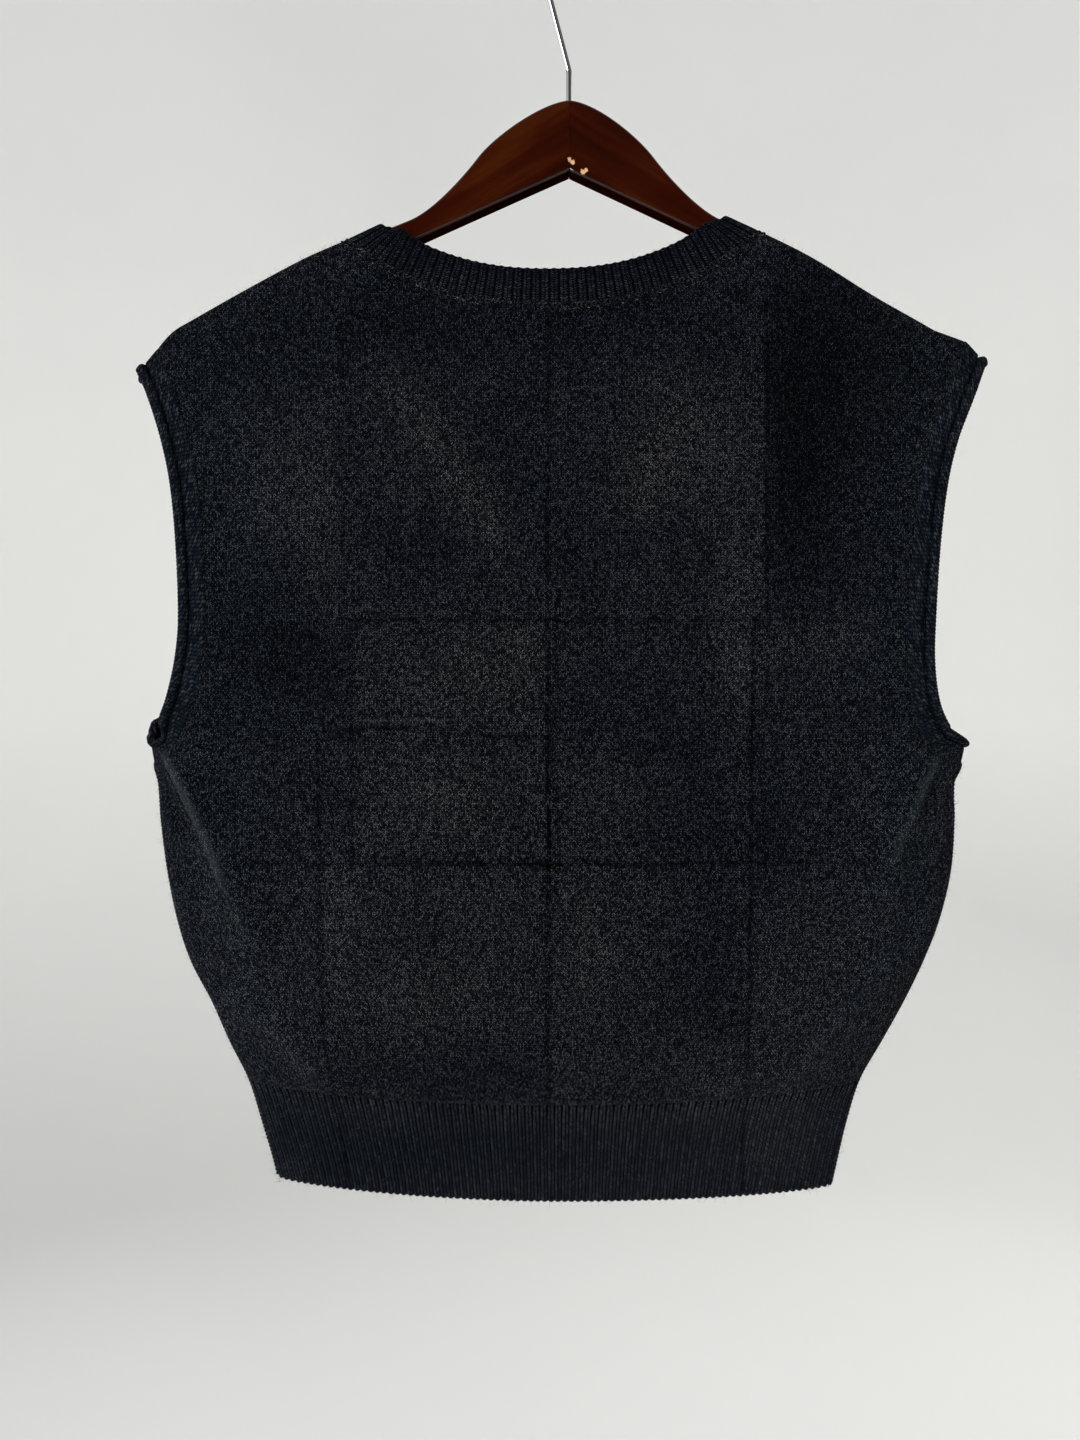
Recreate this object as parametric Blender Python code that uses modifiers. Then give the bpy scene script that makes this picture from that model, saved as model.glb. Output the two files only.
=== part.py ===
"""A knitted V-neck sweater vest on a two-part wooden hanger, hung by the hanger's hook.

Metres, +Z up.  The origin is the inside top of the hook, where a rail holds it.  Seen from the vest's
back, +X is to the right.  The back panel faces -Y and the front panel +Y.

Each knitted panel is a grid of wales (columns, `across` from -1 to 1) and courses (rows, `up` from 0 to
1) on a smooth face, thickened by Solidify.  The neckband and the two armhole bands are knitted sections
carried round the panels' own edges, a seam's gap away from them.
"""

import math
from collections import namedtuple

import bmesh
import bpy
from mathutils import Vector
from mathutils.geometry import interpolate_bezier

for old in list(bpy.data.objects):
    bpy.data.objects.remove(old)

# --- Cloth: how thick each knit is, and how far apart pieces lie at their seams --------------------------
BODY_THICK = 0.0020
RIB_THICK = 0.0026
BAND_GAP = 0.0005
JOIN_GAP = 0.0006

# --- Neckband: its width at the back and over the shoulders, and how far it stands proud ----------------
NECKBAND_THICK = 0.0028
NECKBAND_WIDTH = 0.0225
NECKBAND_SHOULDER_WIDTH = 0.0260
NECKBAND_PROUD = 0.0007
NECKBAND_RISE = math.radians(22)
NECKBAND_BLEND = 0.030
NECK_CLEAR = 0.0009
NECK_SHOULDER_REACH = 0.050

# --- Armhole bands: a ribbed strip, and the roll of its bound edge --------------------------------------
ARMBAND_THICK = 0.0022
ARMBAND_WIDTH = 0.0096
ARMBAND_AT_UNDERARM = math.radians(60)
ARMBAND_AT_TIP = math.radians(-42)
ARMBAND_BLEND = 0.025
ROLL_RADIUS = 0.0025
ROLL_OFF = 0.0029
ROLL_RAISED = 0.00055
ROLL_START = math.radians(150)
ROLL_STEP = math.radians(50)
ROLL_POINTS = 7
GROOVE_OFF = 0.0008
GROOVE_IN = 0.0002
GROOVE_RAISED = 0.00044
UNDERARM_CLEAR = 0.0010
UNDERARM_REACH = 0.0400

# --- Vest, measured from its own middle line -----------------------------------------------------------
VEST_X = -0.0070
JOIN_Z = -0.6385
JOIN_SAG = 0.0110
HEM_Z = -0.6985
HEM_SAG = 0.0065
UNDERARM_Z = -0.4560
NECK_LEFT = 0.1215
NECK_RIGHT = 0.1170
NECK_DROP_BACK = 0.0425
NECK_DROP_FRONT = 0.1880
NECK_STRAIGHT_SHARE = 0.72
NECK_BOW_POWER = 3
BACK_NECK_POWER = 2.3

# The side outline, from the hem to the shoulder tip: the side seam, then the armhole seam.
# middle is how far each panel stands off the plane between them at its middle, and edge at its side.
Section = namedtuple("Section", "z left right middle edge")
SEAM_EDGE = 0.0007
UNDERARM_ROUND = 0.0120
FULLNESS = 4
SIDE = (
    Section(-0.7050, 0.1570, 0.1555, 0.0085, SEAM_EDGE),
    Section(-0.6850, 0.1618, 0.1600, 0.0090, SEAM_EDGE),
    Section(-0.6630, 0.1683, 0.1652, 0.0105, SEAM_EDGE),
    Section(-0.6385, 0.1760, 0.1730, 0.0135, SEAM_EDGE),
    Section(-0.6170, 0.1867, 0.1852, 0.0165, SEAM_EDGE),
    Section(-0.5940, 0.1970, 0.1980, 0.0182, SEAM_EDGE),
    Section(-0.5710, 0.2090, 0.2092, 0.0188, SEAM_EDGE),
    Section(-0.5480, 0.2166, 0.2182, 0.0185, SEAM_EDGE),
    Section(-0.5200, 0.2224, 0.2250, 0.0175, SEAM_EDGE),
    Section(-0.4900, 0.2263, 0.2272, 0.0155, SEAM_EDGE),
    Section(-0.4690, 0.2278, 0.2272, 0.0145, SEAM_EDGE),
    Section(UNDERARM_Z, 0.2300, 0.2310, 0.0138, SEAM_EDGE),
    Section(-0.4490, 0.2190, 0.2200, 0.0134, 0.0068),
    Section(-0.4380, 0.2112, 0.2105, 0.0130, 0.0076),
    Section(-0.4230, 0.2052, 0.2035, 0.0124, 0.0080),
    Section(-0.4000, 0.2010, 0.1990, 0.0116, 0.0080),
    Section(-0.3760, 0.1997, 0.1995, 0.0108, 0.0080),
    Section(-0.3300, 0.2014, 0.2025, 0.0097, 0.0078),
    Section(-0.2950, 0.2050, 0.2070, 0.0089, 0.0076),
    Section(-0.2700, 0.2103, 0.2130, 0.0083, 0.0075),
    Section(-0.2470, 0.2180, 0.2205, 0.0079, 0.0075),
    Section(-0.2160, 0.2265, 0.2310, 0.0075, 0.0075),
)

# The largest folds: soft ridges on the two panels, from one place to another, in x and z.
Fold = namedtuple("Fold", "panel x0 z0 x1 z1 height half_width")
FOLD_SHARPNESS = 1.6
FOLDS = (
    Fold("back", -0.2260, -0.4560, -0.1800, -0.5550, 0.0060, 0.0200),
    Fold("back", 0.2020, -0.4560, 0.1720, -0.5350, 0.0055, 0.0200),
    Fold("front", -0.2080, -0.4620, -0.1760, -0.5450, 0.0050, 0.0220),
    Fold("front", 0.2150, -0.4600, 0.1740, -0.5600, 0.0055, 0.0220),
)

# The grid of each panel, and its extra lines where it turns over the hanger.
WALES_NECK = 6
WALES_SHOULDER = 7
NECK_CORNER_STEPS = (0.0055, 0.0018, 0.0006, 0.0002)
COURSES_SIDE = 7
COURSES_ARMHOLE = 10
COURSES_RIB = 3
UNDERARM_UP = 0.43
UNDERARM_STEP = 0.0012
SEAM_STEP = 0.0012
ARMHOLE_EASE = 1.6
SHOULDER_TURN = 0.0042
SHOULDER_EDGE = 0.00025
SHOULDER_POWER = 3
TURN_STEPS = (0.0045, 0.0016, 0.0004)
SAME_WALE = 1e-6

# --- Hanger --------------------------------------------------------------------------------------------
WIRE = 0.0031
HOOK_RADIUS = 0.02105
HOOK_CENTRE_RISE = 0.0600
HOOK_STEM_RISE = 0.0190
HOOK_KINK_RADIUS = 0.0060
HOOK_TURN = math.radians(234)
HOOK_TIP = math.radians(-24)
HOOK_DEPTH = 0.0110
HOOK_KINK_STEPS = 4
HOOK_SLANT_STEPS = 4
HOOK_ROUND_STEPS = 22
HOLE_CLEARANCE = 0.0003
HOLE_SIDES = 18
WOOD_X = -0.0020
WOOD_TOP = -(HOOK_CENTRE_RISE + HOOK_RADIUS - WIRE / 2)
WOOD_THICK = 0.0120
WOOD_ROUND = 0.0020
JOINT_X = 0.0
JOINT_SAW = 0.0003
WELD = 0.000002
CLOTH_LIFT = 0.0023
DRAPE_START = 0.2120
DRAPE_SLOPE = 0.543
DRAPE_BEND = 9.0

# An arm's outline: how far out and down from the crown, the slope there and its handle's length.
Bend = namedtuple("Bend", "out drop slope handle")
ARM_TOP = (
    Bend(0.0000, 0.0000, 0, 0.0170),
    Bend(0.0500, 0.0325, 53, 0.0140),
    Bend(0.0880, 0.0680, 24, 0.0140),
    Bend(0.1500, 0.0918, 26, 0.0220),
    Bend(0.2140, 0.1268, 29, 0.0060),
)
ARM_UNDER = (
    Bend(0.2080, 0.1415, 29, 0.0060),
    Bend(0.1450, 0.1085, 26, 0.0220),
    Bend(0.0900, 0.0820, 25, 0.0180),
)
ARM_STEPS = 10
ARM_TIP = Bend(0.2200, 0.1370, 90, 0.0040)
ARM_APEX_DROP = 0.0397

KNIT = ((0.012, 0.013, 0.016, 1), 0.95, 0.0)
MAHOGANY = ((0.075, 0.016, 0.006, 1), 0.28, 0.0)
CHROME = ((0.55, 0.55, 0.56, 1), 0.12, 1.0)


vest = bpy.data.collections.new("sweater_vest_on_hanger")
cutters = bpy.data.collections.new("cutters")
bpy.context.scene.collection.children.link(vest)
bpy.context.scene.collection.children.link(cutters)
carrier = bpy.data.objects.new("hung_at_hook", None)
vest.objects.link(carrier)


def material(name, finish):
    """A Principled material of one colour, roughness and metallic value."""
    colour, roughness, metallic = finish
    made = bpy.data.materials.get(name)
    if made is None:
        made = bpy.data.materials.new(name)
        made.use_nodes = True
        shader = made.node_tree.nodes["Principled BSDF"]
        shader.inputs["Base Color"].default_value = colour
        shader.inputs["Roughness"].default_value = roughness
        shader.inputs["Metallic"].default_value = metallic
    return made


def add_object(name, data, finish_name, finish):
    """Put a mesh or curve in the vest's collection, under its empty, with its material."""
    made = bpy.data.objects.new(name, data)
    data.materials.append(material(finish_name, finish))
    vest.objects.link(made)
    made.parent = carrier
    return made


def smooth(rows, column, z):
    """A column of a table of sections at height z, along a curve through its rows."""
    last = len(rows) - 2
    i = 0
    while i < last and z > rows[i + 1].z:
        i += 1
    a, b = rows[i], rows[i + 1]
    before, after = rows[max(i - 1, 0)], rows[min(i + 2, len(rows) - 1)]
    span = b.z - a.z
    t = min(max((z - a.z) / span, 0), 1)
    p0, p1 = getattr(a, column), getattr(b, column)
    m0 = (p1 - getattr(before, column)) / (b.z - before.z) * span
    m1 = (getattr(after, column) - p0) / (after.z - a.z) * span
    if column == "edge" and p0 == SEAM_EDGE:
        m0, m1 = 0, 0
        t = math.sqrt(t)
    return (
        (2 * t**3 - 3 * t**2 + 1) * p0
        + (t**3 - 2 * t**2 + t) * m0
        + (3 * t**2 - 2 * t**3) * p1
        + (t**3 - t**2) * m1
    )


def handle(bend):
    """The way along an arm's edge at a bend, out and down, as long as the bend's handle."""
    slope = math.radians(bend.slope)
    return Vector((math.cos(slope), math.sin(slope))) * bend.handle


def edge_points(bends):
    """Points along an arm's top edge, out and drop, through its bends."""
    points = [Vector((bends[0].out, bends[0].drop))]
    for a, b in zip(bends, bends[1:]):
        start, end = Vector((a.out, a.drop)), Vector((b.out, b.drop))
        run = interpolate_bezier(start, start + handle(a), end - handle(b), end, ARM_STEPS + 1)
        points += [Vector(p[:2]) for p in run[1:]]
    return points


TOP_EDGE = edge_points(ARM_TOP)


def wood_drop(out):
    """How far the top of an arm lies below the crown."""
    for a, b in zip(TOP_EDGE, TOP_EDGE[1:]):
        if out <= b.x:
            return a.y + (b.y - a.y) * (out - a.x) / (b.x - a.x)
    return TOP_EDGE[-1].y


def shoulder_z(x):
    """Height of the cloth on top of the hanger, and past its tip where it falls away."""
    out = abs(x - WOOD_X)
    past = max(out - DRAPE_START, 0)
    drop = wood_drop(min(out, DRAPE_START)) + DRAPE_SLOPE * past + DRAPE_BEND * past**2
    return WOOD_TOP - drop + CLOTH_LIFT


def neck_half(x):
    """Half the width of the neckline on this side."""
    return NECK_LEFT if x < VEST_X else NECK_RIGHT


def neck_z(panel, x):
    """Height of the neckline's seam: a shallow curve at the back, a bowed V at the front."""
    off = min(abs(x - VEST_X) / neck_half(x), 1)
    left, right = shoulder_z(VEST_X - NECK_LEFT), shoulder_z(VEST_X + NECK_RIGHT)
    share = 0.5 + math.copysign(off, x - VEST_X) / 2
    corner = left + (right - left) * share
    if panel == "back":
        return corner - NECK_DROP_BACK * (1 - off**BACK_NECK_POWER)
    rise = NECK_STRAIGHT_SHARE * off + (1 - NECK_STRAIGHT_SHARE) * off**NECK_BOW_POWER
    return corner - NECK_DROP_FRONT * (1 - rise)


def half_width(across, z):
    """The half width of the vest on this side at this height."""
    return smooth(SIDE, "left" if across < 0 else "right", z)


def top_z(panel, x):
    """Height of a panel's top edge: its shoulder seam, or its neckline."""
    if abs(x - VEST_X) < neck_half(x):
        return neck_z(panel, x)
    return shoulder_z(x)


def fold_height(panel, x, z):
    """How far the folds lift a panel at this place."""
    lift = 0
    for fold in FOLDS:
        if fold.panel != panel:
            continue
        start, end = Vector((fold.x0, fold.z0)), Vector((fold.x1, fold.z1))
        along = (Vector((x, z)) - start).dot(end - start) / (end - start).length_squared
        nearest = start.lerp(end, min(max(along, 0), 1))
        off = (Vector((x, z)) - nearest).length / fold.half_width
        lift += fold.height * math.exp(-(off**2) * FOLD_SHARPNESS)
    return lift


def stand_off(panel, across, x, z, side_z):
    """How far a panel stands off the plane between front and back."""
    edge = smooth(SIDE, "edge", side_z)
    middle = smooth(SIDE, "middle", z)
    above = min(max((side_z - UNDERARM_Z) / UNDERARM_ROUND, 0), 1)
    fullness = (1 - abs(across) ** FULLNESS) ** ((1 + above) / 2)
    depth = edge + (middle - edge) * fullness + fold_height(panel, x, z) * fullness
    below = max(shoulder_z(x) - z, 0) / SHOULDER_TURN
    turn = (1 - (1 - min(below, 1)) ** SHOULDER_POWER) ** (1 / SHOULDER_POWER)
    return SHOULDER_EDGE + (depth - SHOULDER_EDGE) * turn


def place(panel, across, up):
    """A point of a panel's middle face."""
    tip_half = half_width(across, SIDE[-1].z)
    tip_x = VEST_X + across * tip_half
    tip_z = shoulder_z(VEST_X + math.copysign(tip_half, across))
    if up < UNDERARM_UP:
        side_z = JOIN_Z + (UNDERARM_Z - JOIN_Z) * up / UNDERARM_UP
    else:
        side_z = UNDERARM_Z + (tip_z - UNDERARM_Z) * (up - UNDERARM_UP) / (1 - UNDERARM_UP)
    x = VEST_X + across * half_width(across, side_z)
    if up == 1:
        x = tip_x
    low = JOIN_Z + JOIN_GAP / 2 - JOIN_SAG * (1 - across**2)
    z = low + (top_z(panel, tip_x) - low) * (side_z - JOIN_Z) / (tip_z - JOIN_Z)
    y = stand_off(panel, across, x, z, side_z)
    return Vector((x, -y if panel == "back" else y, z))


def place_rib(panel, across, up):
    """A point of a hem rib's middle face, from the hem's edge up to the join."""
    low = HEM_Z - HEM_SAG * (1 - across**2)
    high = JOIN_Z - JOIN_GAP / 2 - JOIN_SAG * (1 - across**2)
    z = low + (high - low) * up
    side_z = HEM_Z + (JOIN_Z - HEM_Z) * up
    x = VEST_X + across * half_width(across, side_z)
    y = SEAM_EDGE + (smooth(SIDE, "middle", z) - SEAM_EDGE) * math.sqrt(1 - across**FULLNESS)
    return Vector((x, -y if panel == "back" else y, z))


def side_wales(side):
    """The places of the wales on one side of the middle, out to the seam."""
    tip_half = half_width(side, SIDE[-1].z)
    neck = neck_half(VEST_X + side)
    even = [neck * i / WALES_NECK / tip_half for i in range(1, WALES_NECK)]
    corner = [(neck - step) / tip_half for step in NECK_CORNER_STEPS]
    outer = []
    for i in range(WALES_SHOULDER + 1):
        share = math.sin(math.pi / 2 * i / WALES_SHOULDER)
        outer.append(neck / tip_half + (1 - neck / tip_half) * share)
    outer.insert(-1, 1 - SEAM_STEP)
    return even + corner + outer


def wales():
    """The places of the wales across a panel: even over the neck, closer towards the sides."""
    return [-a for a in reversed(side_wales(-1))] + [0.0] + side_wales(1)


def courses():
    """The places of the courses up a panel, with close ones at the underarm and over the shoulder."""
    height = (SIDE[-1].z - UNDERARM_Z) / (1 - UNDERARM_UP)
    rows = [UNDERARM_UP * i / COURSES_SIDE for i in range(COURSES_SIDE + 1)]
    rows.append(UNDERARM_UP + UNDERARM_STEP / height)
    for i in range(1, COURSES_ARMHOLE):
        rows.append(UNDERARM_UP + (1 - UNDERARM_UP) * (i / COURSES_ARMHOLE) ** ARMHOLE_EASE)
    return rows + [1 - step / height for step in TURN_STEPS] + [1.0]


def grid_mesh(name, points_at, columns, rows, outward):
    """An open grid of faces through points_at(column, row)."""
    verts = [points_at(a, b) for b in rows for a in columns]
    wide = len(columns)
    faces = []
    for j in range(len(rows) - 1):
        for i in range(wide - 1):
            low = j * wide + i
            ring = (low, low + 1, low + wide + 1, low + wide)
            faces.append(ring if outward else ring[::-1])
    mesh = bpy.data.meshes.new(name)
    mesh.from_pydata(verts, [], faces)
    mesh.validate()
    mesh.shade_smooth()
    return mesh


def add_cloth(name, mesh, thick):
    """A grid given its thickness, half of it on each side."""
    made = add_object(name, mesh, "charcoal_knit", KNIT)
    wall = made.modifiers.new("Thickness", "SOLIDIFY")
    wall.thickness = thick
    wall.offset = 0
    return made


def carry(name, loop, shape, section_at):
    """A section carried round a loop: section_at(i) gives its points, off the panel and outward."""
    rings = []
    for i, p in enumerate(loop):
        away, normal = shape[i]
        rings.append([p + away * off + normal * out for off, out in section_at(i)])
    run = loop[1] - loop[0]
    away, normal = shape[0]
    reverse = away.cross(normal).dot(run) < 0
    verts = [p for ring in rings for p in ring]
    count, size = len(rings), len(rings[0])
    faces = []
    for j in range(count):
        for i in range(size):
            k = (i + 1) % size
            n = (j + 1) % count
            face = (j * size + i, j * size + k, n * size + k, n * size + i)
            faces.append(face[::-1] if reverse else face)
    mesh = bpy.data.meshes.new(name)
    mesh.from_pydata(verts, [], faces)
    mesh.validate()
    mesh.shade_smooth()
    return mesh


def frames(loop, away_at_ends, blend):
    """For each point of a loop, the way off the panel (in the XZ plane) and the cloth's outward normal.

    away_at_ends gives, for loop indices where front and back meet, the way off the panel there.
    """
    count = len(loop)
    away = []
    for i, p in enumerate(loop):
        if i in away_at_ends:
            away.append(away_at_ends[i].copy())
            continue
        run = loop[(i + 1) % count] - loop[i - 1]
        flat = Vector((run.x, 0, run.z))
        side = Vector((-flat.z, 0, flat.x)).normalized()
        nearest = min(away_at_ends, key=lambda k: min((i - k) % count, (k - i) % count))
        if side.dot(away_at_ends[nearest]) < 0:
            side = -side
        away.append(side)
    blended = []
    for i, p in enumerate(loop):
        way = away[i].copy()
        for k, fixed in away_at_ends.items():
            reach = (p - loop[k]).length / blend
            if i != k and reach < 1:
                way = way * reach + fixed * (1 - reach)
        blended.append(way.normalized())
    normals = []
    for i in range(count):
        run = (loop[(i + 1) % count] - loop[i - 1]).normalized()
        normals.append(run.cross(blended[i]).normalized())
    backwards = sum(n.y * math.copysign(1, p.y) for n, p in zip(normals, loop)) < 0
    if backwards:
        normals = [-n for n in normals]
    return list(zip(blended, normals))


def neck_line(panel):
    """A panel's own points along its neckline, from left to right."""
    left = NECK_LEFT / half_width(-1, SIDE[-1].z)
    right = NECK_RIGHT / half_width(1, SIDE[-1].z)
    return [place(panel, a, 1.0) for a in wales() if -left - SAME_WALE <= a <= right + SAME_WALE]


def armhole_line(panel, side):
    """A panel's own points along its armhole, from the underarm to the shoulder tip."""
    return [place(panel, side, b) for b in courses() if b >= UNDERARM_UP]


def mid_plane(point):
    """The same place on the plane between front and back."""
    return Vector((point.x, 0, point.z))


def build_panel(panel):
    """A front or back panel, from its shoulders down to the join with its hem rib."""
    name = panel + "_panel"
    mesh = grid_mesh(name, lambda a, b: place(panel, a, b), wales(), courses(), panel == "back")
    return add_cloth(name, mesh, BODY_THICK)


def build_hem_rib(panel):
    """The rib that hangs from a panel's lower edge."""
    name = panel + "_hem_rib"
    rows = [i / COURSES_RIB for i in range(COURSES_RIB + 1)]
    mesh = grid_mesh(name, lambda a, b: place_rib(panel, a, b), wales(), rows, panel == "back")
    return add_cloth(name, mesh, RIB_THICK)


def build_neckband():
    """The ribbed band round the whole neckline, wider where it crosses the shoulders."""
    back, front = neck_line("back"), neck_line("front")
    apex = min(range(len(front)), key=lambda i: front[i].z)
    left, right = mid_plane(back[0]), mid_plane(back[-1])
    loop = [left] + back[1:-1] + [right] + front[-2:0:-1]
    turn = len(back) - 1
    point = turn + len(front) - 1 - apex
    ends = {
        0: Vector((math.cos(NECKBAND_RISE), 0, math.sin(NECKBAND_RISE))),
        turn: Vector((-math.cos(NECKBAND_RISE), 0, math.sin(NECKBAND_RISE))),
    }
    low = NECKBAND_PROUD - NECKBAND_THICK / 2
    high = NECKBAND_PROUD + NECKBAND_THICK / 2

    def section_at(i):
        off_shoulder = min((loop[i] - left).length, (loop[i] - right).length)
        near_shoulder = max(1 - off_shoulder / NECK_SHOULDER_REACH, 0)
        width = NECKBAND_WIDTH + (NECKBAND_SHOULDER_WIDTH - NECKBAND_WIDTH) * near_shoulder
        start = BAND_GAP + NECK_CLEAR * near_shoulder
        if i == point:
            slope = (loop[i - 1] - loop[i]).normalized()
            mitre = 1 / math.sqrt(1 - slope.z**2)
            width *= mitre
            start *= mitre
        return [(start, low), (start + width, low), (start + width, high), (start, high)]

    mesh = carry("neckband", loop, frames(loop, ends, NECKBAND_BLEND), section_at)
    return add_object("neckband", mesh, "charcoal_knit", KNIT)


def build_armhole_band(side):
    """A ribbed strip round the armhole, with its bound edge rolled outwards."""
    back, front = armhole_line("back", side), armhole_line("front", side)
    under, tip = mid_plane(back[0]), mid_plane(back[-1])
    loop = [under] + back[1:-1] + [tip] + front[-2:0:-1]
    low, high = ARMBAND_AT_UNDERARM, ARMBAND_AT_TIP
    ends = {
        0: Vector((side * math.cos(low), 0, math.sin(low))),
        len(back) - 1: Vector((side * math.cos(high), 0, math.sin(high))),
    }
    half = ARMBAND_THICK / 2
    section = [
        (BAND_GAP, -half),
        (BAND_GAP, half),
        (ARMBAND_WIDTH - GROOVE_OFF, half),
        (ARMBAND_WIDTH + GROOVE_IN, GROOVE_RAISED),
    ]
    for k in range(ROLL_POINTS):
        angle = ROLL_START - ROLL_STEP * k
        off = ARMBAND_WIDTH + ROLL_OFF + ROLL_RADIUS * math.cos(angle)
        section.append((off, ROLL_RAISED + ROLL_RADIUS * math.sin(angle)))
    section.reverse()
    name = "armhole_band_" + ("left" if side < 0 else "right")

    def section_at(i):
        clear = UNDERARM_CLEAR * max(1 - (loop[i] - under).length / UNDERARM_REACH, 0)
        return [(off + clear, out) for off, out in section]

    mesh = carry(name, loop, frames(loop, ends, ARMBAND_BLEND), section_at)
    return add_object(name, mesh, "charcoal_knit", KNIT)


def filled_outline(name, corners, thick, rounding):
    """A flat outline of Bezier corners (x, z, way in, way out), filled, extruded and rounded."""
    flat = bpy.data.curves.new(name, "CURVE")
    flat.dimensions = "2D"
    flat.fill_mode = "BOTH"
    flat.extrude = thick / 2 - rounding
    flat.bevel_depth = rounding
    flat.bevel_resolution = 1
    flat.offset = -rounding
    flat.resolution_u = 6
    spline = flat.splines.new("BEZIER")
    spline.bezier_points.add(len(corners) - 1)
    spline.use_cyclic_u = True
    for point, (x, z, way_in, way_out) in zip(spline.bezier_points, corners):
        point.co = (x, z, 0)
        point.handle_left = (x - way_in.x, z - way_in.y, 0)
        point.handle_right = (x + way_out.x, z + way_out.y, 0)
    return flat


def stood_up(name, curve):
    """A flat curve made a mesh, its caps welded, stood up in the XZ plane."""
    guide = bpy.data.objects.new(name + "_guide", curve)
    vest.objects.link(guide)
    guide.rotation_euler = (math.pi / 2, 0, 0)
    bpy.context.view_layer.update()
    mesh = bpy.data.meshes.new_from_object(guide.evaluated_get(bpy.context.evaluated_depsgraph_get()))
    mesh.transform(guide.matrix_world)
    bpy.data.objects.remove(guide)
    bm = bmesh.new()
    bm.from_mesh(mesh)
    bmesh.ops.remove_doubles(bm, verts=bm.verts, dist=WELD)
    bmesh.ops.recalc_face_normals(bm, faces=bm.faces)
    bm.to_mesh(mesh)
    bm.free()
    return mesh


def arm_outline(side):
    """One arm's outline: from the crown out to the tip, and back under it to the apex."""
    joint = JOINT_X + side * JOINT_SAW / 2
    straight = Vector((0, 0))
    corners = [(joint, WOOD_TOP, straight, Vector((side * ARM_TOP[0].handle, 0)))]
    for bend in ARM_TOP[1:] + (ARM_TIP,):
        way = Vector((side * handle(bend).x, -handle(bend).y))
        corners.append((WOOD_X + side * bend.out, WOOD_TOP - bend.drop, way, way))
    for bend in ARM_UNDER:
        way = Vector((-side * handle(bend).x, handle(bend).y))
        corners.append((WOOD_X + side * bend.out, WOOD_TOP - bend.drop, way, way))
    corners.append((joint, WOOD_TOP - ARM_APEX_DROP, straight, straight))
    return corners


def build_hook_hole():
    """The cutter for the hole that the hook's stem turns in, across the joint of the two arms."""
    bottom = WOOD_TOP - HOOK_DEPTH - HOLE_CLEARANCE
    length = 4 * HOOK_DEPTH
    radius = WIRE / 2 + HOLE_CLEARANCE
    bpy.ops.mesh.primitive_cylinder_add(vertices=HOLE_SIDES, radius=radius, depth=length)
    hole = bpy.context.object
    hole.name = "hook_hole"
    hole.location = (JOINT_X, 0, bottom + length / 2)
    hole.display_type = "WIRE"
    hole.hide_render = True
    for owner in hole.users_collection:
        owner.objects.unlink(hole)
    cutters.objects.link(hole)
    return hole


def build_arm(side, hole):
    """One wooden arm, cut off at the joint and drilled on it for the hook's stem."""
    name = "hanger_arm_" + ("left" if side < 0 else "right")
    outline = filled_outline(name, arm_outline(side), WOOD_THICK, WOOD_ROUND)
    arm = add_object(name, stood_up(name, outline), "mahogany", MAHOGANY)
    cut = arm.modifiers.new("Hook hole", "BOOLEAN")
    cut.operation = "DIFFERENCE"
    cut.object = hole
    return arm


def hook_path():
    """The hook's centreline in its own plane, off the stem and up, from the bottom of the stem."""
    foot = WOOD_TOP - HOOK_DEPTH
    knee = WOOD_TOP + HOOK_STEM_RISE
    centre = WOOD_TOP + HOOK_CENTRE_RISE
    lean = math.asin(HOOK_RADIUS / (centre - knee))
    slant = math.sqrt((centre - knee) ** 2 - HOOK_RADIUS**2)
    bend = HOOK_KINK_RADIUS * math.tan(lean / 2)
    points = [Vector((0, foot)), Vector((0, (foot + knee) / 2))]
    for i in range(HOOK_KINK_STEPS + 1):
        angle = lean * i / HOOK_KINK_STEPS
        off = HOOK_KINK_RADIUS * (1 - math.cos(angle))
        points.append(Vector((off, knee - bend + HOOK_KINK_RADIUS * math.sin(angle))))
    for i in range(1, HOOK_SLANT_STEPS):
        run = bend + (slant - bend) * i / HOOK_SLANT_STEPS
        points.append(Vector((run * math.sin(lean), knee + run * math.cos(lean))))
    for i in range(HOOK_ROUND_STEPS + 1):
        angle = -lean + (math.pi + lean - HOOK_TIP) * i / HOOK_ROUND_STEPS
        points.append(Vector((HOOK_RADIUS * math.cos(angle), centre + HOOK_RADIUS * math.sin(angle))))
    return points


def build_hook():
    """The bent wire hook, swivelled in the wood."""
    wire = bpy.data.curves.new("hook", "CURVE")
    wire.dimensions = "3D"
    wire.bevel_depth = WIRE / 2
    wire.bevel_resolution = 2
    wire.use_fill_caps = True
    spline = wire.splines.new("POLY")
    points = hook_path()
    spline.points.add(len(points) - 1)
    for point, (off, up) in zip(spline.points, points):
        point.co = (off * math.cos(HOOK_TURN), off * math.sin(HOOK_TURN), up, 1)
    return add_object("hook", wire, "chrome", CHROME)


for panel in ("back", "front"):
    build_panel(panel)
    build_hem_rib(panel)
build_neckband()
for side in (-1, 1):
    build_armhole_band(side)
hook_hole = build_hook_hole()
for side in (-1, 1):
    build_arm(side, hook_hole)
build_hook()
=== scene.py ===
import math
from collections import namedtuple
from functools import reduce

import bmesh
import bpy
import numpy as np
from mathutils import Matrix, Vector
from mathutils.geometry import interpolate_bezier


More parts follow.
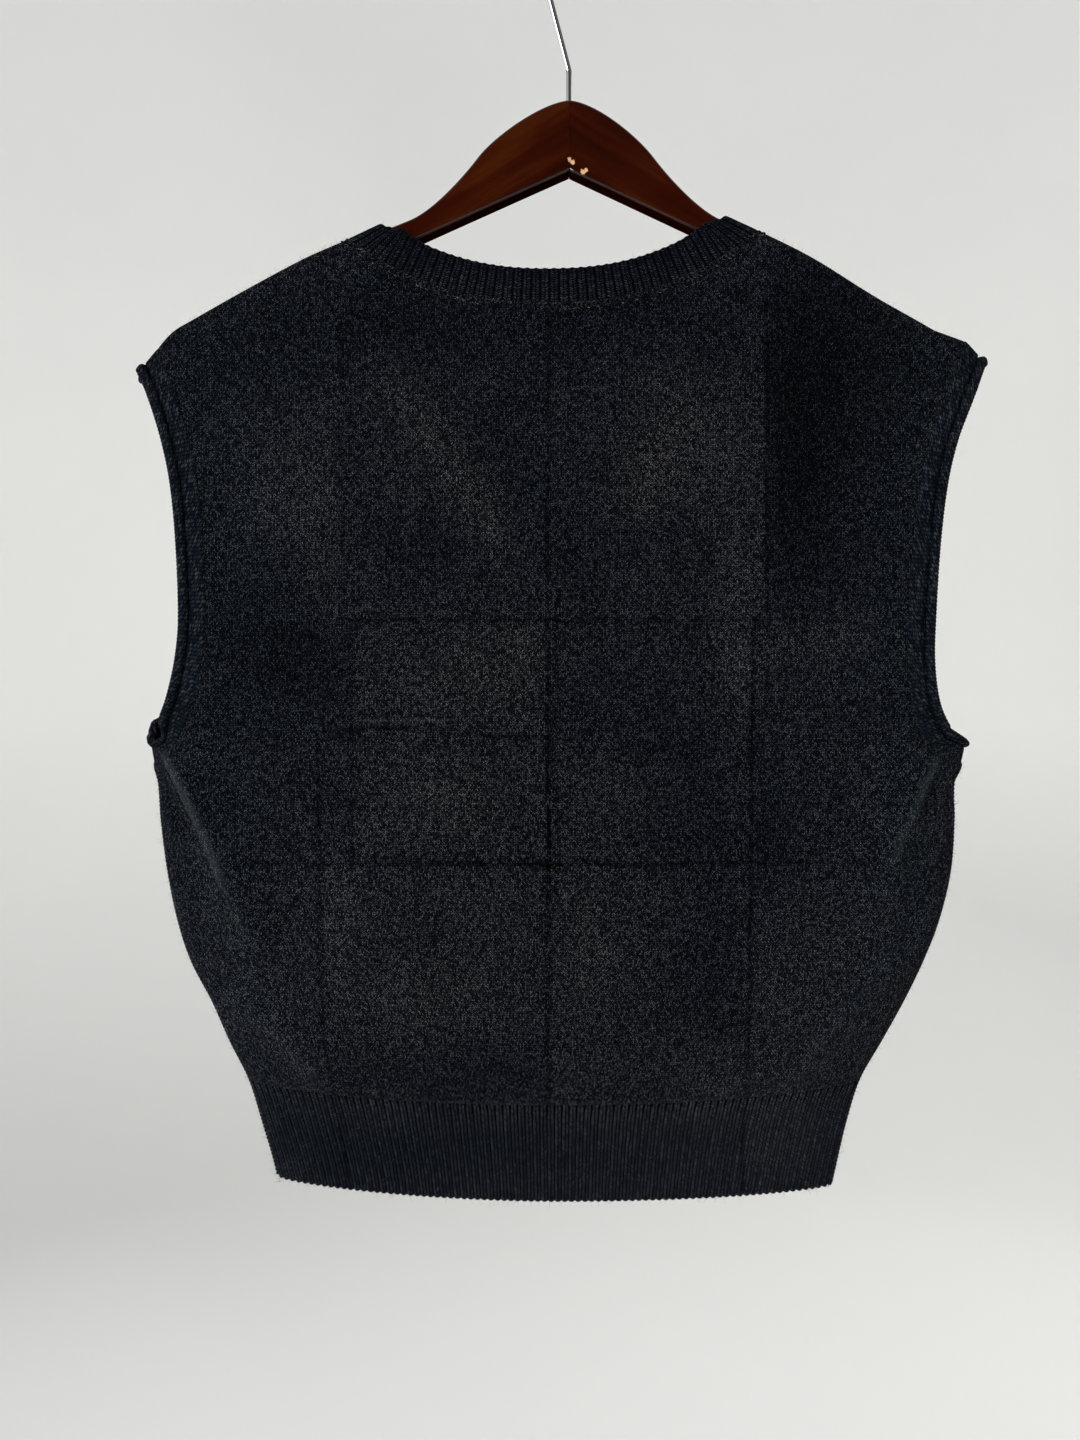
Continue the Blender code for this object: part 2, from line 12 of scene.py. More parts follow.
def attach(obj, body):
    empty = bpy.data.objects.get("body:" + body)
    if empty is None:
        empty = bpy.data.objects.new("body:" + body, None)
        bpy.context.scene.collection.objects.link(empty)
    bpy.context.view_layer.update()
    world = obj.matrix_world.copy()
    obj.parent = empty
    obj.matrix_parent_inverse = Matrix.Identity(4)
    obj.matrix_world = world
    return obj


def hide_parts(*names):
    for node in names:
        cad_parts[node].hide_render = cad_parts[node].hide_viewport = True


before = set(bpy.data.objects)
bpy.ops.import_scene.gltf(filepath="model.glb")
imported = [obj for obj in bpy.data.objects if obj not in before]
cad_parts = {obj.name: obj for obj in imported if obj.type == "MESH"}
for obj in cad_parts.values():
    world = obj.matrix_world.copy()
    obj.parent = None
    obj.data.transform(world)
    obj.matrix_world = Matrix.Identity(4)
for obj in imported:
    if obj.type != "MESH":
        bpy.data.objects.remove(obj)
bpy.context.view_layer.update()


# --- The studio ----------------------------------------------------------------------------------------
# A pale floor that sweeps up into a round wall, a long way off, and large soft lights.
# The vest hangs from its hook at the origin, and the camera looks level at its back.
EYE = (-0.0167, -0.621, -0.4329)
LENS = 27.04
SENSOR = 36.0
FLOOR_Z = -1.55
FLOOR_RADIUS = 2.1
SWEEP_RADIUS = 1.1
WALL_TOP = 2.6
WALL_COLOUR = (0.87, 0.87, 0.855)
FLOOR_TONE = 0.74
ROOM_COLOUR = (0.86, 0.87, 0.88, 1)
ROOM_LIGHT = 0.82
SWEEP_STEPS = 12
SWEEP_SIDES = 96

eye = bpy.data.objects.new("eye", bpy.data.cameras.new("eye"))
eye.location = EYE
eye.rotation_euler = (math.pi / 2, 0, 0)
eye.data.lens = LENS
eye.data.sensor_width = SENSOR
eye.data.clip_end = 30
bpy.context.scene.collection.objects.link(eye)
bpy.context.scene.camera = eye
bpy.context.scene.view_settings.view_transform = "Standard"


class Finish:
    """A material, wired node by node. A node's input is a value or another node's output."""

    def __init__(self, name):
        self.material = bpy.data.materials.new(name)
        self.material.use_nodes = True
        self.tree = self.material.node_tree
        self.place = self.node("TexCoord").outputs["Object"]

    def feed(self, node, inputs):
        for name, value in inputs.items():
            if isinstance(value, bpy.types.NodeSocket):
                self.tree.links.new(value, node.inputs[name])
            else:
                node.inputs[name].default_value = value

    def node(self, kind, inputs=None, **settings):
        made = self.tree.nodes.new("ShaderNode" + kind)
        for name, value in settings.items():
            setattr(made, name, value)
        self.feed(made, inputs or {})
        return made

    def math(self, operation, *values):
        return self.node("Math", dict(enumerate(values)), operation=operation).outputs[0]

    def times(self, *values):
        return reduce(lambda a, b: self.math("MULTIPLY", a, b), values)

    def vector(self, operation, *values, out=0):
        return self.node("VectorMath", dict(enumerate(values)), operation=operation).outputs[out]

    def scaled(self, colour, factor):
        return self.node("VectorMath", {0: colour, "Scale": factor}, operation="SCALE").outputs[0]

    def apart(self, vector):
        return self.node("SeparateXYZ", {0: vector}).outputs

    def facing(self):
        return self.apart(self.node("NewGeometry").outputs["Normal"])

    def span(self, value, low=0.0, high=1.0, to_low=0.0, to_high=1.0, **settings):
        ranges = {"Value": value, "From Min": low, "From Max": high, "To Min": to_low, "To Max": to_high}
        return self.node("MapRange", ranges, **settings).outputs[0]

    def noise(self, at, scale, detail=2.0, **more):
        return self.node("TexNoise", {"Vector": at, "Scale": scale, "Detail": detail, **more}).outputs[0]

    def blend(self, share, one, other):
        return self.node("Mix", {0: share, 6: one, 7: other}, data_type="RGBA").outputs[2]

    def bump(self, height, strength, distance):
        return self.node("Bump", {"Height": height, "Strength": strength, "Distance": distance}).outputs[0]

    def surface(self, inputs):
        self.feed(self.tree.nodes["Principled BSDF"], inputs)
        return self.material


def build_sweep():
    """The floor and wall in one smooth round surface."""
    profile = [(0.0, FLOOR_Z), (FLOOR_RADIUS * 0.5, FLOOR_Z), (FLOOR_RADIUS, FLOOR_Z)]
    for i in range(1, SWEEP_STEPS + 1):
        angle = math.pi / 2 * i / SWEEP_STEPS
        out = FLOOR_RADIUS + SWEEP_RADIUS * math.sin(angle)
        profile.append((out, FLOOR_Z + SWEEP_RADIUS * (1 - math.cos(angle))))
    profile.append((FLOOR_RADIUS + SWEEP_RADIUS, WALL_TOP))
    mesh = bpy.data.meshes.new("sweep")
    bm = bmesh.new()
    verts = [bm.verts.new((r, 0, z)) for r, z in profile]
    edges = [bm.edges.new(pair) for pair in zip(verts, verts[1:])]
    turned = dict(axis=(0, 0, 1), cent=(0, 0, 0), steps=SWEEP_SIDES, angle=math.tau, use_merge=True)
    bmesh.ops.spin(bm, geom=verts + edges, **turned)
    bmesh.ops.remove_doubles(bm, verts=bm.verts, dist=0.0001)
    bmesh.ops.recalc_face_normals(bm, faces=bm.faces)
    bmesh.ops.reverse_faces(bm, faces=bm.faces)
    bm.to_mesh(mesh)
    bm.free()
    mesh.shade_smooth()
    sweep = bpy.data.objects.new("sweep", mesh)
    bpy.context.scene.collection.objects.link(sweep)
    paint = Finish("pale_wall_paint")
    mottle = paint.span(paint.noise(paint.place, 1.3, 3.0), to_low=0.96, to_high=1.03)
    floor = paint.span(paint.apart(paint.place)[2], FLOOR_Z, FLOOR_Z + SWEEP_RADIUS, FLOOR_TONE)
    colour = paint.scaled(WALL_COLOUR, paint.times(mottle, floor))
    look = {"Base Color": colour, "Roughness": 0.9, "Specular IOR Level": 0.1}
    sweep.data.materials.append(paint.surface(look))


def soft_light(name, place, aim, size, power, colour, beam=180):
    """A square soft light that shines from a place towards a point, over a beam of some degrees."""
    light = bpy.data.objects.new(name, bpy.data.lights.new(name, "AREA"))
    light.data.size = size
    light.data.energy = power
    light.data.spread = math.radians(beam)
    light.data.color = colour
    light.location = place
    light.rotation_euler = (Vector(aim) - Vector(place)).to_track_quat("-Z", "Y").to_euler()
    light.visible_camera = False
    bpy.context.scene.collection.objects.link(light)


build_sweep()
MIDDLE = (0, 0, -0.42)
soft_light("low_key", (-1.7, -1.5, -0.75), MIDDLE, 1.0, 21.5, (1.0, 0.99, 0.97), 120)
soft_light("high_fill", (1.9, -1.2, 0.5), MIDDLE, 1.4, 12, (0.97, 0.985, 1.0))
soft_light("front_key", (1.6, 1.6, 0.5), MIDDLE, 1.4, 34, (1.0, 0.99, 0.98))
soft_light("front_fill", (-1.9, 1.2, -0.4), MIDDLE, 1.4, 10, (0.98, 0.99, 1.0), 120)
world = bpy.data.worlds.new("room")
world.use_nodes = True
sky = world.node_tree.nodes["Background"].inputs
sky["Color"].default_value = ROOM_COLOUR
sky["Strength"].default_value = ROOM_LIGHT
bpy.context.scene.world = world


# --- The hook ------------------------------------------------------------------------------------------
# A bent steel wire, chromed and polished. Its stem is pushed into the joint of the hanger's two arms,
# leans out at a knee and turns back in a round hook.
WIRE = 0.0031
HOOK_RADIUS = 0.02105
HOOK_CENTRE_RISE = 0.0600
HOOK_STEM_RISE = 0.0190
HOOK_KINK_RADIUS = 0.0060
HOOK_TURN = math.radians(234)
HOOK_TIP = math.radians(33)
HOOK_DEPTH = 0.0110
KINK_STEPS = 12
STEM_STEPS = 10
TURN_STEPS = 72
WOOD_TOP = -(HOOK_CENTRE_RISE + HOOK_RADIUS - WIRE / 2)
# Painted reflection in the chrome's colour: dark all over, and bright in a band round the side that faces
# left.
CHROME_PAINTED_DARK_REFLECTION = (0.06, 0.06, 0.064, 1)
CHROME_PAINTED_WINDOW_REFLECTION = (0.62, 0.63, 0.64, 1)
PAINTED_WINDOW_SIDE = -0.55
PAINTED_WINDOW_NEAR = 0.08
PAINTED_WINDOW_FAR = 0.38


def hook_path():
    """The wire's centreline in its own plane, out and up, from the bottom of the stem."""
    foot = WOOD_TOP - HOOK_DEPTH
    knee = WOOD_TOP + HOOK_STEM_RISE
    centre = WOOD_TOP + HOOK_CENTRE_RISE
    lean = math.asin(HOOK_RADIUS / (centre - knee))
    slant = math.sqrt((centre - knee) ** 2 - HOOK_RADIUS**2)
    bend = HOOK_KINK_RADIUS * math.tan(lean / 2)
    points = [(0, foot), (0, (foot + knee) / 2)]
    for i in range(KINK_STEPS + 1):
        angle = lean * i / KINK_STEPS
        off = HOOK_KINK_RADIUS * (1 - math.cos(angle))
        points.append((off, knee - bend + HOOK_KINK_RADIUS * math.sin(angle)))
    for i in range(1, STEM_STEPS):
        run = bend + (slant - bend) * i / STEM_STEPS
        points.append((run * math.sin(lean), knee + run * math.cos(lean)))
    for i in range(TURN_STEPS + 1):
        angle = -lean + (math.pi + lean - HOOK_TIP) * i / TURN_STEPS
        points.append((HOOK_RADIUS * math.cos(angle), centre + HOOK_RADIUS * math.sin(angle)))
    return points


def chrome():
    """Polished chrome with faint rubbing marks. Its colour holds a painted reflection: dark, with a bright
    band on its left side where a window would be mirrored.
    """
    steel = Finish("polished_chrome")
    off = steel.math("ABSOLUTE", steel.math("SUBTRACT", steel.facing()[0], PAINTED_WINDOW_SIDE))
    return steel.surface({
        # Painted reflection: the colour is bright where the wire faces the window's side, and dark elsewhere.
        "Base Color": steel.blend(steel.span(off, PAINTED_WINDOW_FAR, PAINTED_WINDOW_NEAR), CHROME_PAINTED_DARK_REFLECTION, CHROME_PAINTED_WINDOW_REFLECTION),
        "Metallic": 1.0,
        "Roughness": steel.span(steel.noise(steel.place, 900.0, 4.0), to_low=0.05, to_high=0.16),
        "Normal": steel.bump(steel.noise(steel.place, 160.0), 0.08, 0.0004),
    })


def worked(name, data, surface, slot, *nodes):
    """A finished piece: its material, the body it rides on, and the CAD nodes it stands for. The slot it is
    given is not used.
    """
    piece = bpy.data.objects.new(name, data)
    bpy.context.scene.collection.objects.link(piece)
    piece.data.materials.append(surface)
    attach(piece, "root")
    if nodes:
        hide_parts(*nodes)
    return piece


wire = bpy.data.curves.new("wire_hook", "CURVE")
wire.dimensions = "3D"
wire.bevel_depth = WIRE / 2
wire.bevel_resolution = 6
wire.use_fill_caps = True
spline = wire.splines.new("POLY")
spline.points.add(len(hook_path()) - 1)
for point, (off, up) in zip(spline.points, hook_path()):
    point.co = (off * math.cos(HOOK_TURN), off * math.sin(HOOK_TURN), up, 1)
spline.use_smooth = True
worked("wire_hook", wire, chrome(), "chrome", "hook")


# --- The hanger's arms ---------------------------------------------------------------------------------
# Two arms sawn from hardwood, butted and glued at the middle, with rounded edges. They are stained a dark
# reddish brown and varnished to a gloss, which is chipped in two places under the hook.
WOOD_X = -0.0020
WOOD_THICK = 0.0120
WOOD_ROUND = 0.0020
JOINT_SAW = 0.0001
Bend = namedtuple("Bend", "out drop slope handle")
ARM_TOP = (
    Bend(0.0000, 0.0000, 0, 0.0170),
    Bend(0.0500, 0.0325, 53, 0.0140),
    Bend(0.0880, 0.0680, 24, 0.0140),
    Bend(0.1500, 0.0918, 27, 0.0220),
    Bend(0.2090, 0.1243, 31, 0.0060),
)
ARM_TIP = Bend(0.2165, 0.1362, 90, 0.0040)
ARM_UNDER = (
    Bend(0.2060, 0.1410, 29, 0.0060),
    Bend(0.1450, 0.1085, 26, 0.0220),
    Bend(0.0900, 0.0820, 25, 0.0180),
)
ARM_APEX_DROP = 0.0397
ARM_SAG = {-1: 0.0014, 1: 0.0090}
SAG_START = 0.0880
SAG_LENGTH = {-1: 0.0600, 1: 0.0980}
SAG_STEP = 0.001
SHARP_ANGLE = math.radians(35)
GRAIN_SLOPE = math.radians(31)
STAIN_DARK = (0.0100, 0.0010, 0.0002, 1)
STAIN_MID = (0.0215, 0.0022, 0.0003, 1)
STAIN_PALE = (0.0370, 0.0066, 0.0007, 1)
BARE_WOOD = (0.62, 0.36, 0.20, 1)
# How dark the painted shade is on the arms' undersides.
UNDERSIDE_PAINTED_SHADE = 0.25
GRAIN = (7.0, 70.0, 120.0)
PORES = (40.0, 700.0, 1100.0)
PORE_SHARE = 0.28
CLOUD_SHARE = 0.35
STAIN_STOPS = (0.55, 0.80, 1.0)
CHIP_RAGGED = 1.6
CHIP_EDGE = (1.75, 1.35)
EDGE_POLISH = 0.9
Chip = namedtuple("Chip", "x z radius")
CHIPS = (
    Chip(0.0002, -0.1140, 0.0015), Chip(0.0018, -0.1156, 0.0016),
    Chip(0.0078, -0.1212, 0.0017), Chip(0.0094, -0.1203, 0.0013),
)


def handle(bend):
    """The way along an arm's edge at a bend, out and down, as long as the bend's handle."""
    slope = math.radians(bend.slope)
    return Vector((math.cos(slope), math.sin(slope))) * bend.handle


def arm_edge(bends, steps):
    """Points along an arm's edge, out and drop, through its bends."""
    points = [Vector((bends[0].out, bends[0].drop))]
    for a, b in zip(bends, bends[1:]):
        start, end = Vector((a.out, a.drop)), Vector((b.out, b.drop))
        run = interpolate_bezier(start, start + handle(a), end - handle(b), end, steps + 1)
        points += [Vector(p[:2]) for p in run[1:]]
    return points


def on_side(values, x):
    """The one of a left (-1) and a right (1) value that is meant for a place."""
    return np.where(x < 0, values[-1], values[1])


def sag(out, x):
    """How far the weight of the vest bends an arm down at a place, out from the middle."""
    share = np.clip((out - SAG_START) / on_side(SAG_LENGTH, x), 0, 1)
    return on_side(ARM_SAG, x) * share**2 * (3 - 2 * share)


def arm_outline(side):
    """One arm's outline: from the crown out to the tip, and back under it to the apex."""
    joint = -side * WOOD_ROUND
    straight = Vector((0, 0))
    corners = [(joint, WOOD_TOP, straight, Vector((side * ARM_TOP[0].handle, 0)))]
    for bend in ARM_TOP[1:] + (ARM_TIP,) + ARM_UNDER:
        outward = -1 if bend in ARM_UNDER else 1
        fall = float(sag(bend.out + SAG_STEP, side) - sag(bend.out - SAG_STEP, side)) / (2 * SAG_STEP)
        way = Vector((side * handle(bend).x, -handle(bend).y - fall * handle(bend).x)) * outward
        height = WOOD_TOP - bend.drop - float(sag(bend.out, side))
        corners.append((WOOD_X + side * bend.out, height, way, way))
    corners.append((joint, WOOD_TOP - ARM_APEX_DROP, straight, straight))
    return corners


def arm_mesh(side):
    """The arm's outline filled, extruded to the wood's thickness, its edges rounded over."""
    flat = bpy.data.curves.new("arm", "CURVE")
    flat.dimensions = "2D"
    flat.fill_mode = "BOTH"
    flat.extrude = WOOD_THICK / 2 - WOOD_ROUND
    flat.bevel_depth = WOOD_ROUND
    flat.bevel_resolution = 4
    flat.offset = -WOOD_ROUND
    flat.resolution_u = 20
    spline = flat.splines.new("BEZIER")
    corners = arm_outline(side)
    spline.bezier_points.add(len(corners) - 1)
    spline.use_cyclic_u = True
    for point, (x, z, way_in, way_out) in zip(spline.bezier_points, corners):
        point.co = (x, z, 0)
        point.handle_left = (x - way_in.x, z - way_in.y, 0)
        point.handle_right = (x + way_out.x, z + way_out.y, 0)
    guide = bpy.data.objects.new("arm", flat)
    bpy.context.scene.collection.objects.link(guide)
    guide.rotation_euler = (math.pi / 2, 0, 0)
    bpy.context.view_layer.update()
    mesh = bpy.data.meshes.new_from_object(guide.evaluated_get(bpy.context.evaluated_depsgraph_get()))
    mesh.transform(guide.matrix_world)
    bpy.data.objects.remove(guide)
    bm = bmesh.new()
    bm.from_mesh(mesh)
    for vert in bm.verts:
        vert.co.x = side * max(side * vert.co.x, JOINT_SAW / 2)
    bmesh.ops.remove_doubles(bm, verts=bm.verts, dist=0.000002)
    bmesh.ops.recalc_face_normals(bm, faces=bm.faces)
    bm.to_mesh(mesh)
    bm.free()
    mesh.materials.clear()
    mesh.shade_smooth()
    mesh.set_sharp_from_angle(angle=SHARP_ANGLE)
    return mesh


def varnished_wood(side):
    """Stained wood with its grain along the arm, under gloss varnish, with the two chips in it, and painted
    shade that darkens it where it faces down.
    """
    wood = Finish("mahogany_" + ("left" if side < 0 else "right"))
    along = wood.node("Mapping", {"Vector": wood.place, "Rotation": (0, side * -GRAIN_SLOPE, 0)}).outputs[0]
    drawn = wood.vector("MULTIPLY", along, GRAIN)
    pores = wood.noise(wood.vector("MULTIPLY", along, PORES), 1.0, 3.0)
    tone = wood.math("MULTIPLY_ADD", pores, PORE_SHARE, wood.noise(drawn, 1.0, 6.0, Distortion=0.5))
    tone = wood.math("MULTIPLY_ADD", wood.noise(wood.place, 22.0), CLOUD_SHARE, tone)
    ramp = wood.node("ValToRGB", {"Fac": tone})
    stops = ramp.color_ramp.elements
    stops.new(STAIN_STOPS[1])
    for stop, at, stain in zip(stops, STAIN_STOPS, (STAIN_DARK, STAIN_MID, STAIN_PALE)):
        stop.position = at
        stop.color = stain
    colour, height = ramp.outputs[0], wood.times(pores, 0.25)
    ragged = wood.noise(wood.place, 900.0)
    for chip in CHIPS:
        off = wood.vector("DISTANCE", wood.place, (chip.x, -WOOD_THICK / 2, chip.z), out="Value")
        edge = wood.math("MULTIPLY_ADD", ragged, chip.radius * CHIP_RAGGED, off)
        inside = wood.span(edge, *(chip.radius * share for share in CHIP_EDGE))
        colour = wood.blend(inside, colour, BARE_WOOD)
        height = wood.math("SUBTRACT", height, inside)
    facing = wood.facing()
    flat = wood.math("ABSOLUTE", facing[1])
    face = wood.span(flat, 0.25, 0.60)
    rounded = wood.times(wood.span(flat, 0.97, 0.82), face)
    return wood.surface({
        # Painted shade: the colour darkens where the wood faces down.
        "Base Color": wood.scaled(colour, wood.span(facing[2], -0.85, -0.15, UNDERSIDE_PAINTED_SHADE)),
        "Roughness": wood.span(wood.noise(drawn, 0.6, 4.0), to_low=0.24, to_high=0.42),
        "Normal": wood.bump(height, 0.35, 0.0003),
        "Specular IOR Level": wood.times(face, 0.05),
        "Specular Tint": (1.0, 0.30, 0.14, 1),
        "Coat Weight": wood.math("MULTIPLY_ADD", rounded, EDGE_POLISH, wood.times(face, 0.02)),
        "Coat Roughness": 0.08,
    })


for side, name in ((-1, "left"), (1, "right")):
    worked("varnished_arm_" + name, arm_mesh(side), varnished_wood(side), "mahogany", "hanger_arm_" + name)


# --- The front and back panels -------------------------------------------------------------------------
# Each panel is one piece of fine plain knit, in a charcoal wool with a soft nap. Its wales hang straight
# from the shoulders and are drawn in above the hem's rib. It was stored folded, so it keeps the creases.
VEST_X = -0.0070
JOIN_Z = -0.6385
JOIN_SAG = 0.0110
UNDERARM_Z = -0.4560
NECK_HALF = {-1: 0.1215, 1: 0.1170}
NECK_DROP_BACK = 0.0402
NECK_DROP_FRONT = 0.1880
NECK_STRAIGHT_SHARE = 0.72
NECK_BOW_POWER = 3
BACK_NECK_POWER = 2.3
BODY_THICK = 0.0016
CLOTH_LIFT = 0.0015
DRAPE_START = 0.2090
DRAPE_SLOPE = {-1: 0.56, 1: 0.36}
DRAPE_TURN = {-1: 0.2190, 1: 0.2240}
DRAPE_BEND = {-1: 33.0, 1: 60.0}
SHOULDER_TURN = 0.0042
SHOULDER_EDGE = 0.00025
SHOULDER_POWER = 3
UNDERARM_ROUND = 0.0120
FULLNESS = 4
FOLD_POWER = 1.6
EDGE_STEPS = 40
UNDERARM_UP = 0.43


def in_metres(kind, sizes, rows):
    """Rows of a table as records, whose first few values are sizes in millimetres."""
    return [kind(*(value / 1000 for value in row[:sizes]), *row[sizes:]) for row in rows]


# The side outline, hem to shoulder tip, in millimetres. middle and edge are how far a panel stands off the
# plane between front and back, which is SEAM where the two are linked.
Section = namedtuple("Section", "z left right middle edge")
SEAM = 0.1
SIDE = in_metres(Section, 5, (
    (-705, 157, 155.5, 8.5, SEAM),
    (-685, 161.8, 160, 9, SEAM),
    (-663, 168.3, 165.2, 10.5, SEAM),
    (-638.5, 176, 173, 13.5, SEAM),
    (-617, 186.7, 185.2, 16.5, SEAM),
    (-594, 197, 198, 18.2, SEAM),
    (-571, 209, 209.2, 18.8, SEAM),
    (-548, 216.6, 218.2, 18.5, SEAM),
    (-520, 222.4, 225, 17.5, SEAM),
    (-490, 226.3, 227.2, 15.5, SEAM),
    (-469, 227.8, 227.2, 14.5, SEAM),
    (-456, 230, 231, 13.8, SEAM),
    (-449, 218.8, 215, 13.4, 6.8),
    (-438, 212.4, 206.8, 13, 7.6),
    (-423, 206.8, 201.6, 12.4, 8),
    (-400, 201.8, 199, 11.6, 8),
    (-376, 199.7, 199.5, 10.8, 8),
    (-330, 201.4, 202.5, 9.7, 7.8),
    (-295, 205, 207, 8.9, 7.6),
    (-270, 210.3, 213, 8.3, 7.5),
    (-247, 217.4, 221.6, 7.9, 7.5),
    (-220, 228, 231.8, 7.5, 7.5),
))
SEAM_EDGE = SIDE[0].edge
TIP_Z = SIDE[-1].z
HEIGHTS = np.array([row.z for row in SIDE])

# Soft ridges of each panel from one place to another, in x and z, in millimetres.
Fold = namedtuple("Fold", "x0 z0 x1 z1 height half_width")
FOLDS = {
    "back": in_metres(Fold, 6, (
        (-226, -456, -180, -555, 6, 20),
        (202, -456, 172, -535, 5.5, 20),
    )),
    "front": in_metres(Fold, 6, (
        (-208, -462, -176, -545, 5, 22),
        (215, -460, 174, -560, 5.5, 22),
    )),
}


def along_side(column, z):
    """A column of the side table at heights z, along a smooth curve through its rows."""
    values = np.array([getattr(row, column) for row in SIDE])
    i = np.clip(np.searchsorted(HEIGHTS, z, side="left") - 1, 0, len(SIDE) - 2)
    before, after = np.maximum(i - 1, 0), np.minimum(i + 2, len(SIDE) - 1)
    span = HEIGHTS[i + 1] - HEIGHTS[i]
    t = np.clip((z - HEIGHTS[i]) / span, 0, 1)
    p0, p1 = values[i], values[i + 1]
    m0 = (p1 - values[before]) / (HEIGHTS[i + 1] - HEIGHTS[before]) * span
    m1 = (values[after] - p0) / (HEIGHTS[after] - HEIGHTS[i]) * span
    if column == "edge":
        seam = p0 == SEAM_EDGE
        m0, m1 = np.where(seam, 0, m0), np.where(seam, 0, m1)
        t = np.where(seam, np.sqrt(t), t)
    low = (2 * t**3 - 3 * t**2 + 1) * p0 + (t**3 - 2 * t**2 + t) * m0
    return low + (3 * t**2 - 2 * t**3) * p1 + (t**3 - t**2) * m1


def half_width(across, z):
    """The vest's half width on the side that across lies on."""
    return on_side({-1: along_side("left", z), 1: along_side("right", z)}, across)


def tip_half(side):
    """The vest's half width at a shoulder's tip."""
    return float(half_width(side, TIP_Z))


WOOD_EDGE = np.array([tuple(p) for p in arm_edge(ARM_TOP, EDGE_STEPS)])


def shoulder_z(x):
    """Height of the cloth on top of the hanger, and past its tip where it falls away."""
    out = np.abs(x - WOOD_X)
    past = np.maximum(out - DRAPE_START, 0)
    turned = np.maximum(out - on_side(DRAPE_TURN, x), 0)
    fall = on_side(DRAPE_SLOPE, x) * past + on_side(DRAPE_BEND, x) * turned**2
    on_wood = np.interp(np.minimum(out, DRAPE_START), WOOD_EDGE[:, 0], WOOD_EDGE[:, 1]) + sag(out, x)
    return WOOD_TOP - on_wood - fall + CLOTH_LIFT


def neck_z(panel, x):
    """Height of the neckline's seam: a shallow curve at the back, a bowed V at the front."""
    off = np.minimum(np.abs(x - VEST_X) / on_side(NECK_HALF, x - VEST_X), 1)
    left, right = (shoulder_z(VEST_X + side * NECK_HALF[side]) for side in (-1, 1))
    corner = left + (right - left) * (0.5 + np.sign(x - VEST_X) * off / 2)
    if panel == "back":
        return corner - NECK_DROP_BACK * (1 - off**BACK_NECK_POWER)
    rise = NECK_STRAIGHT_SHARE * off + (1 - NECK_STRAIGHT_SHARE) * off**NECK_BOW_POWER
    return corner - NECK_DROP_FRONT * (1 - rise)


def fold_height(panel, x, z):
    """How far the folds lift a panel."""
    lift = np.zeros_like(x)
    for fold in FOLDS[panel]:
        dx, dz = fold.x1 - fold.x0, fold.z1 - fold.z0
        along = np.clip(((x - fold.x0) * dx + (z - fold.z0) * dz) / (dx * dx + dz * dz), 0, 1)
        off = np.hypot(x - fold.x0 - along * dx, z - fold.z0 - along * dz) / fold.half_width
        lift += fold.height * np.exp(-FOLD_POWER * off**2)
    return lift


def stand_off(panel, across, x, z, side_z):
    """How far a panel stands off the plane between front and back."""
    edge, middle = along_side("edge", side_z), along_side("middle", z)
    above = np.clip((side_z - UNDERARM_Z) / UNDERARM_ROUND, 0, 1)
    fullness = np.maximum(1 - np.abs(across) ** FULLNESS, 0) ** ((1 + above) / 2)
    depth = edge + (middle - edge) * fullness + fold_height(panel, x, z) * fullness
    below = np.clip((shoulder_z(x) - z) / SHOULDER_TURN, 0, 1)
    turn = (1 - (1 - below) ** SHOULDER_POWER) ** (1 / SHOULDER_POWER)
    return SHOULDER_EDGE + (depth - SHOULDER_EDGE) * turn


def place(panel, across, up):
    """Points of a panel's middle face: across from -1 to 1, and up from the hem's rib to the top."""
    widest = half_width(across, TIP_Z)
    tip_x = VEST_X + across * widest
    tip_z = shoulder_z(VEST_X + np.sign(across) * widest)
    low_part = JOIN_Z + (UNDERARM_Z - JOIN_Z) * up / UNDERARM_UP
    high_part = UNDERARM_Z + (tip_z - UNDERARM_Z) * (up - UNDERARM_UP) / (1 - UNDERARM_UP)
    side_z = np.where(up < UNDERARM_UP, low_part, high_part)
    x = np.where(up == 1, tip_x, VEST_X + across * half_width(across, side_z))
    low = JOIN_Z - JOIN_SAG * (1 - across**2)
    in_neck = np.abs(tip_x - VEST_X) < on_side(NECK_HALF, across)
    top = np.where(in_neck, neck_z(panel, tip_x), shoulder_z(tip_x))
    z = low + (top - low) * (side_z - JOIN_Z) / (tip_z - JOIN_Z)
    y = stand_off(panel, across, x, z, side_z)
    return np.stack([x, -y if panel == "back" else y, z], axis=-1)
